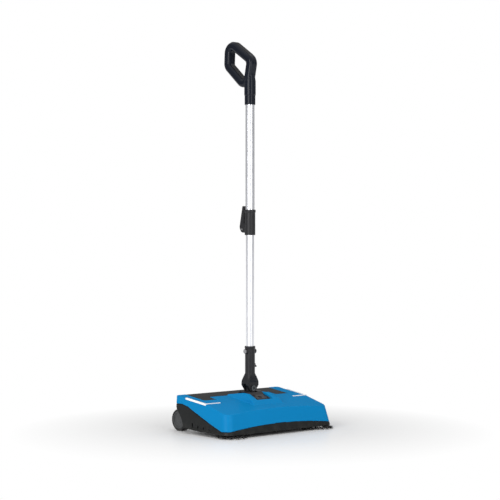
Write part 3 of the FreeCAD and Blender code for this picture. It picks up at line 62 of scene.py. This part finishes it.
# %% Camera
CAMERA_AZIMUTH = math.radians(-41.0)
CAMERA_DISTANCE = 4.355
CAMERA_HEIGHT = 0.5595
HANDLE_Y = 0.010
camera_data = bpy.data.cameras.new("portrait_lens")
camera_data.lens = 100.5
camera_data.sensor_width = 36.0
camera = bpy.data.objects.new("portrait_camera", camera_data)
bpy.context.scene.collection.objects.link(camera)
camera.location = (CAMERA_DISTANCE * math.sin(CAMERA_AZIMUTH),
                   HANDLE_Y - CAMERA_DISTANCE * math.cos(CAMERA_AZIMUTH), CAMERA_HEIGHT)
camera.rotation_euler = (math.radians(90.0), 0.0, CAMERA_AZIMUTH)
bpy.context.scene.camera = camera
print("camera at", [round(value, 3) for value in camera.location])

# %% [markdown]
# ## Small helpers for shader nodes
# A finish is a graph. Three short helpers keep each graph readable: one adds a node, one joins two sockets,
# and one makes a node group whose inputs and outputs have names.

# %% Shader helpers
def add(tree, kind, **values):
    """A shader node with its properties set."""
    node = tree.nodes.new(kind)
    for name, value in values.items():
        setattr(node, name, value)
    return node


def join(tree, source, target):
    """Joins an output to an input, or sets the input where source is a plain value."""
    if isinstance(source, bpy.types.NodeSocket):
        tree.links.new(source, target)
    else:
        target.default_value = source


def math_node(tree, operation, first, second=0.0, clamp=False):
    """One arithmetic step, as the output that carries its result."""
    node = add(tree, "ShaderNodeMath", operation=operation, use_clamp=clamp)
    join(tree, first, node.inputs[0])
    join(tree, second, node.inputs[1])
    return node.outputs[0]


def stretch(tree, value, low, high, to_low, to_high):
    """Maps one span of values onto another and stops at its ends."""
    node = add(tree, "ShaderNodeMapRange")
    for source, target in zip((value, low, high, to_low, to_high), node.inputs[:5]):
        join(tree, source, target)
    return node.outputs[0]


def noise(tree, coordinates, scale, detail=2.0):
    """Plain fractal noise between 0 and 1."""
    node = add(tree, "ShaderNodeTexNoise")
    join(tree, coordinates, node.inputs["Vector"])
    join(tree, scale, node.inputs["Scale"])
    node.inputs["Detail"].default_value = detail
    return node.outputs["Fac"]


def new_group(name, inputs, outputs):
    """An empty shader node group with named sockets, and its input and output nodes."""
    tree = bpy.data.node_groups.new(name, "ShaderNodeTree")
    for label, kind, value in inputs:
        socket = tree.interface.new_socket(label, in_out="INPUT", socket_type=kind)
        socket.default_value = value
    for label, kind in outputs:
        tree.interface.new_socket(label, in_out="OUTPUT", socket_type=kind)
    return tree, add(tree, "NodeGroupInput"), add(tree, "NodeGroupOutput")


# %% [markdown]
# ## Effects shared by several finishes
# Moulded plastic has a fine sparked grain, tubes and pins show drawing lines, and everything that lives near
# the floor gathers a little dust. Each effect is one node group, so that a finish only chooses its strength.

# %% Grain of moulded plastic
FLOAT = "NodeSocketFloat"

grain, grain_in, grain_out = new_group(
    "moulded_grain", [("Grains per Metre", FLOAT, 900.0), ("Tone Change", FLOAT, 0.1)],
    [("Height", FLOAT), ("Gloss Change", FLOAT), ("Tone", FLOAT)])
place = add(grain, "ShaderNodeTexCoord").outputs["Object"]
fine = noise(grain, place, grain_in.outputs["Grains per Metre"], 3.0)
broad = noise(grain, place, 14.0, 4.0)
join(grain, fine, grain_out.inputs["Height"])
join(grain, stretch(grain, broad, 0.3, 0.7, -1.0, 1.0), grain_out.inputs["Gloss Change"])
shift = stretch(grain, broad, 0.3, 0.7, -0.5, 0.5)
swing = math_node(grain, "MULTIPLY", shift, grain_in.outputs["Tone Change"])
join(grain, math_node(grain, "ADD", swing, 1.0), grain_out.inputs["Tone"])
print("moulded_grain has", len(grain.nodes), "nodes")

# %% Drawing lines of metal
drawn, drawn_in, drawn_out = new_group(
    "drawn_metal", [("Lines per Metre", FLOAT, 1500.0), ("Along", FLOAT, 6.0)],
    [("Height", FLOAT), ("Gloss Change", FLOAT)])
place = add(drawn, "ShaderNodeTexCoord").outputs["Object"]
squeeze = add(drawn, "ShaderNodeCombineXYZ")
join(drawn, drawn_in.outputs["Lines per Metre"], squeeze.inputs[0])
join(drawn, drawn_in.outputs["Lines per Metre"], squeeze.inputs[1])
join(drawn, drawn_in.outputs["Along"], squeeze.inputs[2])
scaled = add(drawn, "ShaderNodeVectorMath", operation="MULTIPLY")
join(drawn, place, scaled.inputs[0])
join(drawn, squeeze.outputs[0], scaled.inputs[1])
lines = noise(drawn, scaled.outputs[0], 1.0, 2.0)
smears = noise(drawn, place, 30.0, 3.0)
join(drawn, lines, drawn_out.inputs["Height"])
join(drawn, stretch(drawn, math_node(drawn, "MULTIPLY", lines, smears), 0.1, 0.4, -1.0, 1.0),
     drawn_out.inputs["Gloss Change"])
print("drawn_metal has", len(drawn.nodes), "nodes")

# %% Floor dust
dust, dust_in, dust_out = new_group(
    "floor_dust", [("Amount", FLOAT, 0.3), ("Reach", FLOAT, 0.06)], [("Mask", FLOAT)])
place = add(dust, "ShaderNodeTexCoord").outputs["Object"]
height = add(dust, "ShaderNodeSeparateXYZ")
join(dust, place, height.inputs[0])
near_floor = stretch(dust, height.outputs["Z"], dust_in.outputs["Reach"], 0.0, 0.0, 1.0)
patches = stretch(dust, noise(dust, place, 60.0, 6.0), 0.45, 0.75, 0.0, 1.0)
mask = math_node(dust, "MULTIPLY", near_floor, patches)
mask = math_node(dust, "MULTIPLY", mask, dust_in.outputs["Amount"])
join(dust, mask, dust_out.inputs["Mask"])
print("floor_dust has", len(dust.nodes), "nodes")

# %% Rubbed edges
rub, rub_in, rub_out = new_group(
    "rubbed_edges", [("Strength", FLOAT, 0.5)], [("Mask", FLOAT)])
corner = stretch(rub, add(rub, "ShaderNodeNewGeometry").outputs["Pointiness"], 0.53, 0.62, 0.0, 1.0)
place = add(rub, "ShaderNodeTexCoord").outputs["Object"]
broken = stretch(rub, noise(rub, place, 180.0, 4.0), 0.35, 0.65, 0.3, 1.0)
mask = math_node(rub, "MULTIPLY", corner, broken)
mask = math_node(rub, "MULTIPLY", mask, rub_in.outputs["Strength"])
join(rub, mask, rub_out.inputs["Mask"])
print("rubbed_edges has", len(rub.nodes), "nodes")

# %% [markdown]
# ## Finishes
# One builder makes every plastic and rubber finish: a base colour, a gloss, a grain, a little dust near the
# floor and slightly lighter rubbed edges. A second builder makes the metals.

# %% Plastic and metal finishes
def mixed(tree, first, second, factor):
    """Two colours mixed by a mask."""
    node = add(tree, "ShaderNodeMix", data_type="RGBA")
    join(tree, factor, node.inputs["Factor"])
    join(tree, first, node.inputs["A"])
    join(tree, second, node.inputs["B"])
    return node.outputs["Result"]


def toned(tree, colour, tone):
    """A colour made a little lighter or darker by a value near 1."""
    node = add(tree, "ShaderNodeVectorMath", operation="SCALE")
    join(tree, colour[:3], node.inputs[0])
    join(tree, tone, node.inputs["Scale"])
    return node.outputs[0]


def placed(tree, group, **values):
    """A node group placed in a finish with its own values."""
    node = add(tree, "ShaderNodeGroup", node_tree=group)
    for label, value in values.items():
        node.inputs[label.replace("_", " ")].default_value = value
    return node


def bump(tree, height, distance, strength):
    """Turns a height into a surface normal."""
    node = add(tree, "ShaderNodeBump")
    join(tree, height, node.inputs["Height"])
    node.inputs["Distance"].default_value = distance
    node.inputs["Strength"].default_value = strength
    return node.outputs["Normal"]


DUST_COLOUR = (0.30, 0.28, 0.25, 1.0)


def moulded(name, colour, gloss, grains=900.0, depth=0.00004, swing=0.04, dusty=0.2, rubbed=0.2,
            specular=0.4, coat=0.0, tone=0.12):
    """Moulded plastic or rubber."""
    finish = bpy.data.materials.new(name)
    finish.use_nodes = True
    tree = finish.node_tree
    shader = tree.nodes["Principled BSDF"]
    texture = placed(tree, grain, Grains_per_Metre=grains, Tone_Change=tone)
    edges = placed(tree, rub, Strength=rubbed)
    dirt = placed(tree, dust, Amount=dusty)
    light_edge = tuple(min(1.0, value * 1.6 + 0.02) for value in colour) + (1.0,)
    base = toned(tree, colour, texture.outputs["Tone"])
    base = mixed(tree, base, light_edge, edges.outputs["Mask"])
    base = mixed(tree, base, DUST_COLOUR, dirt.outputs["Mask"])
    join(tree, base, shader.inputs["Base Color"])
    rough = math_node(tree, "MULTIPLY_ADD", texture.outputs["Gloss Change"], swing)
    rough.node.inputs[2].default_value = gloss
    duller = math_node(tree, "MULTIPLY", dirt.outputs["Mask"], 0.3)
    rough = math_node(tree, "ADD", rough, duller, clamp=True)
    join(tree, rough, shader.inputs["Roughness"])
    join(tree, bump(tree, texture.outputs["Height"], depth, 0.6), shader.inputs["Normal"])
    shader.inputs["Specular IOR Level"].default_value = specular
    if coat:
        shader.inputs["Coat Weight"].default_value = coat
        shader.inputs["Coat Roughness"].default_value = 0.35
    return finish


def metal(name, colour, gloss, lines=1500.0, along=6.0, swing=0.05, depth=0.000006, metallic=1.0):
    """Drawn or turned metal; a lower metallic share gives satin anodising or lacquer."""
    finish = bpy.data.materials.new(name)
    finish.use_nodes = True
    tree = finish.node_tree
    shader = tree.nodes["Principled BSDF"]
    texture = placed(tree, drawn, Lines_per_Metre=lines, Along=along)
    shader.inputs["Metallic"].default_value = metallic
    tone = math_node(tree, "MULTIPLY_ADD", texture.outputs["Gloss Change"], 0.04)
    tone.node.inputs[2].default_value = 1.0
    join(tree, toned(tree, colour, tone), shader.inputs["Base Color"])
    rough = math_node(tree, "MULTIPLY_ADD", texture.outputs["Gloss Change"], swing)
    rough.node.inputs[2].default_value = gloss
    join(tree, rough, shader.inputs["Roughness"])
    join(tree, bump(tree, texture.outputs["Height"], depth, 0.5), shader.inputs["Normal"])
    return finish


FINISHES = {
    "cover_blue": moulded("moulded_blue", (0.004, 0.20, 0.46), 0.45, grains=1400.0, depth=0.00001,
                          dusty=0.0, rubbed=0.06, specular=0.0, coat=0.10, tone=0.03),
    "chassis_black": moulded("textured_black", (0.008, 0.009, 0.009), 0.48, dusty=0.06, specular=0.22),
    "joint_black": moulded("nylon_black", (0.013, 0.013, 0.015), 0.40, grains=1100.0, depth=0.00001,
                           dusty=0.05, specular=0.3),
    "grip_black": moulded("smooth_navy_black", (0.005, 0.007, 0.013), 0.20, grains=300.0, depth=0.000001,
                          swing=0.02, dusty=0.0, rubbed=0.05, specular=0.22),
    "soft_black": moulded("soft_rubber", (0.014, 0.014, 0.016), 0.62, grains=700.0, dusty=0.1),
    "tyre_black": moulded("tyre_rubber", (0.009, 0.009, 0.010), 0.6, grains=800.0, dusty=0.15),
    "hub_grey": moulded("hub_grey", (0.048, 0.050, 0.052), 0.5, dusty=0.15),
    "tube_silver": metal("anodised_tube", (0.82, 0.83, 0.87), 0.28, lines=500.0, along=3.0, swing=0.01,
                         depth=0.0000001, metallic=0.85),
    "trim_bright": metal("bright_trim", (0.93, 0.93, 0.92), 0.35, lines=300.0, along=300.0, swing=0.02,
                         depth=0.0000001, metallic=0.15),
    "steel_plain": metal("plain_steel", (0.56, 0.56, 0.57), 0.32),
    "screw_steel": metal("zinc_steel", (0.42, 0.42, 0.44), 0.35, lines=900.0, along=900.0),
    "bolt_black": metal("blackened_steel", (0.085, 0.092, 0.098), 0.24, lines=700.0, along=700.0),
    "bristle_black": moulded("nylon_bristle", (0.010, 0.010, 0.011), 0.4, grains=2000.0, dusty=0.12,
                             tone=0.4),
    "bin_black": moulded("bin_black", (0.010, 0.011, 0.012), 0.50, dusty=0.0, specular=0.12),
    "battery_grey": moulded("battery_wrap", (0.05, 0.05, 0.055), 0.4),
    "board_green": moulded("board_green", (0.01, 0.09, 0.03), 0.35),
    "motor_can": metal("motor_can", (0.5, 0.5, 0.52), 0.35),
    "belt_rubber": moulded("belt_rubber", (0.012, 0.012, 0.012), 0.7),
    "bronze_bush": metal("bronze_bush", (0.62, 0.42, 0.20), 0.35),
}
for node, thing in frame["nodes"].items():
    thing.data.materials.clear()
    thing.data.materials.append(FINISHES[SLOT_OF[node]])
print(len(FINISHES), "finishes")

# %% [markdown]
# ## Softly moulded pieces
# Solids have knife edges; moulded plastic never does. Each visible moulding is copied, rebuilt as an even
# mesh of small squares and smoothed, which rounds its edges by a millimetre or two and leaves its flat
# faces flat. A lighter mesh is then made from the result.

# %% Rounding a moulding
def added(name, mesh, node, finish=None):
    """Puts a mesh in the scene as a piece that stands for a solid and moves with it."""
    piece = bpy.data.objects.new(name, mesh)
    bpy.context.scene.collection.objects.link(piece)
    mesh.materials.clear()
    mesh.materials.append(finish or FINISHES[SLOT_OF[node]])
    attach(piece, BODY_OF[node])
    return piece


def softened(node, voxel, passes, share=1.0):
    """A solid's copy with rounded edges, in its place."""
    copy = bpy.data.objects.new("copy", frame["nodes"][node].data.copy())
    bpy.context.scene.collection.objects.link(copy)
    copy.modifiers.new("weld", "WELD").merge_threshold = 0.00001
    squares = copy.modifiers.new("squares", "REMESH")
    squares.mode = "VOXEL"
    squares.voxel_size = voxel
    smooth = copy.modifiers.new("smooth", "SMOOTH")
    smooth.factor = 0.5
    smooth.iterations = passes
    if share < 1.0:
        copy.modifiers.new("lighter", "DECIMATE").ratio = share
    bpy.context.view_layer.update()
    result = copy.evaluated_get(bpy.context.evaluated_depsgraph_get())
    mesh = bpy.data.meshes.new_from_object(result)
    bpy.data.objects.remove(copy)
    mesh.shade_smooth()
    piece = added(node + "_moulded", mesh, node)
    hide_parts(node)
    print(piece.name, len(mesh.polygons), "faces")
    return piece


MOULDINGS = {  # solid: size of the squares, smoothing passes, share of the faces kept
    "top_cover": (0.0013, 8, 0.4),
    "chassis_tray": (0.0014, 3, 0.3),
    "bin_lid": (0.0012, 5, 0.3),
    "joint_base": (0.0008, 5, 0.4),
    "knuckle": (0.0006, 4, 0.4),
    "yoke": (0.0007, 5, 0.4),
    "clamp_body": (0.0006, 5, 0.4),
    "clamp_lever": (0.0005, 4, 0.5),
    "left_grip_shell": (0.0009, 6, 0.4),
    "right_grip_shell": (0.0009, 6, 0.4),
    "left_wheel_tyre": (0.0008, 2, 0.6),
    "right_wheel_tyre": (0.0008, 2, 0.6),
    "left_wheel_hub": (0.0007, 3, 0.5),
    "right_wheel_hub": (0.0007, 3, 0.5),
    "left_side_brush_hub": (0.0008, 3, 0.5),
    "right_side_brush_hub": (0.0008, 3, 0.5),
    "bin_grip": (0.0008, 3, 0.5),
    "yoke_clip": (0.0004, 3, 0.6),
    "power_switch": (0.0004, 3, 0.6),
    "inner_grip_pad": (0.0006, 2, 0.7),
    "top_grip_pad": (0.0006, 2, 0.7),
    "left_trim_strip": (0.0004, 1, 0.8),
    "right_trim_strip": (0.0004, 1, 0.8),
}
pieces = {node: softened(node, *values) for node, values in MOULDINGS.items()}

# %% [markdown]
# ## Ribs and tread
# Hands and floors need grip. The soft pads and the lever have shallow cross ribs, and the tyres have a tread
# of short bars. All are pressed into the rounded meshes: every point is moved inwards by a wave of its place,
# so the outside of the piece stays where it was.

# %% Ribs and tread
_, WHEEL_Y, WHEEL_Z = PIVOT_OF["left_wheel_spin"]  # a wheel stands on the floor, so Z is its radius
TREAD_BARS = 34
TREAD_EDGE = 0.0022
TREAD_DEPTH = 0.0009
PAD_RIB_DEPTH = 0.00045
THUMB_RIB_DEPTH = 0.0005
RIB_PITCH = 0.0036
RIB_SLANT = 0.6
FACING_OUT = 0.6  # how squarely a face has to look outwards to be ribbed
GROOVE_WALLS = 1.4  # a higher value gives steeper walls


def wave(phase):
    """A groove with a flat floor and soft walls: 0 on the ribs, 1 in the grooves."""
    return min(1.0, max(0.0, 0.5 + GROOVE_WALLS * math.cos(phase)))


def tread(place, outward):
    """Grooves across the rolling face of a tyre."""
    spoke = Vector((0.0, place.y - WHEEL_Y, place.z - WHEEL_Z))
    if spoke.length < WHEEL_Z - TREAD_EDGE:
        return Vector()
    return spoke.normalized() * -TREAD_DEPTH * wave(math.atan2(spoke.z, spoke.y) * TREAD_BARS)


def pad_ribs(place, outward):
    """Ribs across a pad, along its run."""
    return outward * -PAD_RIB_DEPTH * wave((place.z + RIB_SLANT * place.y) / RIB_PITCH * math.tau)


def thumb_ribs(place, outward):
    """Ribs on the outer face of the clamp lever."""
    if outward.y <= FACING_OUT:
        return Vector()
    return outward * (-THUMB_RIB_DEPTH * wave(place.z / RIB_PITCH * math.tau))


def pressed(node, rule):
    """Presses a pattern into a softened piece."""
    mesh = pieces[node].data
    shifts = [rule(vertex.co, vertex.normal) for vertex in mesh.vertices]
    for vertex, shift in zip(mesh.vertices, shifts):
        vertex.co += shift
    mesh.update()
    print(node, "pressed, deepest", round(max(shift.length for shift in shifts) * 1000, 2), "mm")


for node in ("left_wheel_tyre", "right_wheel_tyre"):
    pressed(node, tread)
for node in ("inner_grip_pad", "top_grip_pad"):
    pressed(node, pad_ribs)
pressed("clamp_lever", thumb_ribs)

# %% [markdown]
# ## Bristles
# A brush is hundreds of separate filaments set in tufts. Each filament here is a thin three-sided rod that
# bends once and ends in a point, so that the brush has the broken outline and the depth of a real one and
# still stays light. Every draw comes from a seeded generator, so the brush is the same each time.

# %% One filament and one tuft
FILAMENT_SIDES = 3
KNEE_SHARE = 0.85  # thickness at the knee, as a share of the thickness at the root
SHORTEST = 0.9  # length of the shortest filament in a tuft
ROOT_SPREAD = 0.12  # of the splay at the tips
KNEE_SPREAD = 0.45


def filament(points, faces, root, knee, tip, radius):
    """A closed three-sided rod from root over knee to a point at tip."""
    first = len(points)
    for centre, following, width in ((root, knee, radius), (knee, tip, radius * KNEE_SHARE)):
        forward = (following - centre).normalized()
        across = forward.orthogonal().normalized()
        for corner in range(FILAMENT_SIDES):
            turn = Matrix.Rotation(corner * math.tau / FILAMENT_SIDES, 3, forward)
            points.append(centre + turn @ across * width)
    points.append(tip.copy())
    last = first + 2 * FILAMENT_SIDES
    faces.append([first + corner for corner in reversed(range(FILAMENT_SIDES))])
    for corner in range(FILAMENT_SIDES):
        after = (corner + 1) % FILAMENT_SIDES
        knee_corner, knee_after = first + FILAMENT_SIDES + corner, first + FILAMENT_SIDES + after
        faces.append((first + corner, first + after, knee_after, knee_corner))
        faces.append((knee_corner, knee_after, last))


def tuft(points, faces, root, knee, tip, splay, count, radius, draw):
    """Filaments that share a hole in the core and part towards their tips."""
    def shake(reach):
        return Vector([draw.uniform(-reach, reach) for _ in range(3)])
    for _ in range(count):
        reach = draw.uniform(SHORTEST, 1.0)
        end = root + (tip - root) * reach + shake(splay)
        filament(points, faces, root + shake(splay * ROOT_SPREAD), knee + shake(splay * KNEE_SPREAD),
                 end, radius)


def brush_piece(name, node, points, faces):
    """The filaments as one piece in place of the plain sleeve of the solid model."""
    mesh = bpy.data.meshes.new(name)
    mesh.from_pydata(points, [], faces)
    mesh.shade_smooth()
    piece = added(name, mesh, node)
    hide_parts(node)
    print(name, len(points), "points")


# %% Main brush
BRUSH_CENTRE = Vector(PIVOT_OF["main_brush_spin"])
BRUSH_HALF = 0.147
CORE_RADIUS = 0.0115
BRUSH_RADIUS = 0.0352
TUFT_ROWS = 6
TUFT_PITCH = 0.0074
ROW_TWIST = math.radians(70.0)
KNEE_REACH = 0.024
KNEE_DRAG = 0.0004
TIP_DRAG = 0.0015
END_GAP = 0.003
TIP_ROOM = 0.0014
draw = random.Random(11)
points, faces = [], []
steps = int(2 * BRUSH_HALF / TUFT_PITCH)
for row in range(TUFT_ROWS):
    for step in range(steps + 1):
        along = -BRUSH_HALF + END_GAP + step * TUFT_PITCH
        angle = row * math.tau / TUFT_ROWS + ROW_TWIST * abs(along) / BRUSH_HALF
        out = Vector((0.0, math.cos(angle), math.sin(angle)))
        lag = Vector((0.0, -math.sin(angle), math.cos(angle)))
        middle = BRUSH_CENTRE + Vector((along, 0.0, 0.0))
        tuft(points, faces, middle + out * CORE_RADIUS, middle + out * KNEE_REACH + lag * KNEE_DRAG,
             middle + out * (BRUSH_RADIUS - TIP_ROOM) + lag * TIP_DRAG,
             splay=0.0018, count=11, radius=0.00048, draw=draw)
brush_piece("main_brush_tufts", "brush_bristles", points, faces)

# %% Side brushes
HUB_RADIUS = 0.0165
KNEE_RADIUS = 0.034
TIP_RADIUS = 0.0466
ROOT_HEIGHT = 0.0088
KNEE_HEIGHT = 0.0068
TIP_HEIGHT = 0.0034
KNEE_LAG = 0.0015
TIP_LAG = 0.007
LOWEST_TIP = 0.0004
SIDE_TUFTS = 13
for side, hand in ((-1, "left"), (1, "right")):
    points, faces = [], []
    hub_x, hub_y, _ = PIVOT_OF[hand + "_side_brush_spin"]
    hub = Vector((hub_x, hub_y, 0.0))
    for number in range(SIDE_TUFTS):
        angle = (number + 0.5) * math.tau / SIDE_TUFTS
        out = Vector((math.cos(angle), math.sin(angle), 0.0))
        lag = Vector((-math.sin(angle), math.cos(angle), 0.0)) * side
        tuft(points, faces, hub + out * HUB_RADIUS + Vector((0, 0, ROOT_HEIGHT)),
             hub + out * KNEE_RADIUS + lag * KNEE_LAG + Vector((0, 0, KNEE_HEIGHT)),
             hub + out * TIP_RADIUS + lag * TIP_LAG + Vector((0, 0, TIP_HEIGHT)),
             splay=0.0044, count=56, radius=0.00055, draw=draw)
    points = [Vector((point.x, point.y, max(point.z, LOWEST_TIP))) for point in points]
    brush_piece(hand + "_side_tufts", hand + "_side_bristles", points, faces)

# %% [markdown]
# ## Floor and light
# The sweeper stands on a seamless white sweep with a slight polish. Around the object the floor is a real
# surface that takes shadows and dim reflections; further out it turns into an evenly lit white, as the
# background of a studio does. A bright ceiling fades towards a dim horizon, so that flat tops keep their
# colour, and two large soft boxes beside the camera draw the broad highlights on tubes and fronts.

# %% Floor
FLOOR_HALF = 40.0
REAL_FLOOR_RADIUS = 0.30
GLOWING_FLOOR_RADIUS = 0.75
floor_mesh = bpy.data.meshes.new("studio_floor")
corners = [(x * FLOOR_HALF, y * FLOOR_HALF, 0.0) for x, y in ((-1, -1), (1, -1), (1, 1), (-1, 1))]
floor_mesh.from_pydata(corners, [], [(0, 1, 2, 3)])
floor = bpy.data.objects.new("studio_floor", floor_mesh)
bpy.context.scene.collection.objects.link(floor)
floor_finish = bpy.data.materials.new("white_floor")
floor_finish.use_nodes = True
tree = floor_finish.node_tree
floor_shader = tree.nodes["Principled BSDF"]
floor_shader.inputs["Base Color"].default_value = (0.96, 0.96, 0.96, 1.0)
floor_shader.inputs["Roughness"].default_value = 0.34
floor_shader.inputs["Specular IOR Level"].default_value = 0.4
glow = add(tree, "ShaderNodeEmission")
distance = add(tree, "ShaderNodeVectorMath", operation="LENGTH")
join(tree, add(tree, "ShaderNodeTexCoord").outputs["Object"], distance.inputs[0])
far = stretch(tree, distance.outputs["Value"], REAL_FLOOR_RADIUS, GLOWING_FLOOR_RADIUS, 0.0, 1.0)
blend = add(tree, "ShaderNodeMixShader")
join(tree, far, blend.inputs[0])
join(tree, floor_shader.outputs[0], blend.inputs[1])
join(tree, glow.outputs[0], blend.inputs[2])
join(tree, blend.outputs[0], tree.nodes["Material Output"].inputs["Surface"])
floor_mesh.materials.append(floor_finish)
print("floor real to", REAL_FLOOR_RADIUS, "m, an even white beyond", GLOWING_FLOOR_RADIUS, "m")

# %% Room
HORIZON_LIGHT = 0.14
CEILING_LIGHT = 0.86
CEILING_STARTS = 0.7
bpy.context.scene.view_settings.view_transform = "Standard"
world = bpy.data.worlds.new("white_room")
world.use_nodes = True
bpy.context.scene.world = world
tree = world.node_tree
upwards = add(tree, "ShaderNodeSeparateXYZ")
join(tree, add(tree, "ShaderNodeTexCoord").outputs["Generated"], upwards.inputs[0])
ceiling = stretch(tree, upwards.outputs["Z"], 0.0, CEILING_STARTS, HORIZON_LIGHT, CEILING_LIGHT)
seen = add(tree, "ShaderNodeLightPath").outputs["Is Camera Ray"]
strength = add(tree, "ShaderNodeMix", data_type="FLOAT")
join(tree, seen, strength.inputs["Factor"])
join(tree, ceiling, strength.inputs["A"])
strength.inputs["B"].default_value = 1.0
join(tree, strength.outputs["Result"], tree.nodes["Background"].inputs["Strength"])
tree.nodes["Background"].inputs["Color"].default_value = (1.0, 1.0, 1.0, 1.0)
print("room light", HORIZON_LIGHT, "at the horizon and", CEILING_LIGHT, "overhead")


# %% Soft boxes
def soft_box(name, place, target, width, height, power):
    """A rectangular studio light that faces a point."""
    data = bpy.data.lights.new(name, "AREA")
    data.shape = "RECTANGLE"
    data.size = width
    data.size_y = height
    data.energy = power
    lamp = bpy.data.objects.new(name, data)
    bpy.context.scene.collection.objects.link(lamp)
    lamp.location = place
    lamp.rotation_euler = (Vector(target) - Vector(place)).to_track_quat("-Z", "Y").to_euler()
    lamp.visible_camera = False
    print(name, power, "W, facing", target)


MIDDLE = (0.0, 0.0, 0.5)
soft_box("left_soft_box", (-3.0, -0.9, 1.35), MIDDLE, width=1.9, height=2.4, power=60.0)
soft_box("right_soft_box", (-0.4, -3.2, 1.35), MIDDLE, width=1.3, height=2.4, power=27.0)

# %% [markdown]
# ## End
# The visual model has to stay inside the engineering model's box.

# %% Finish
print("scene built")
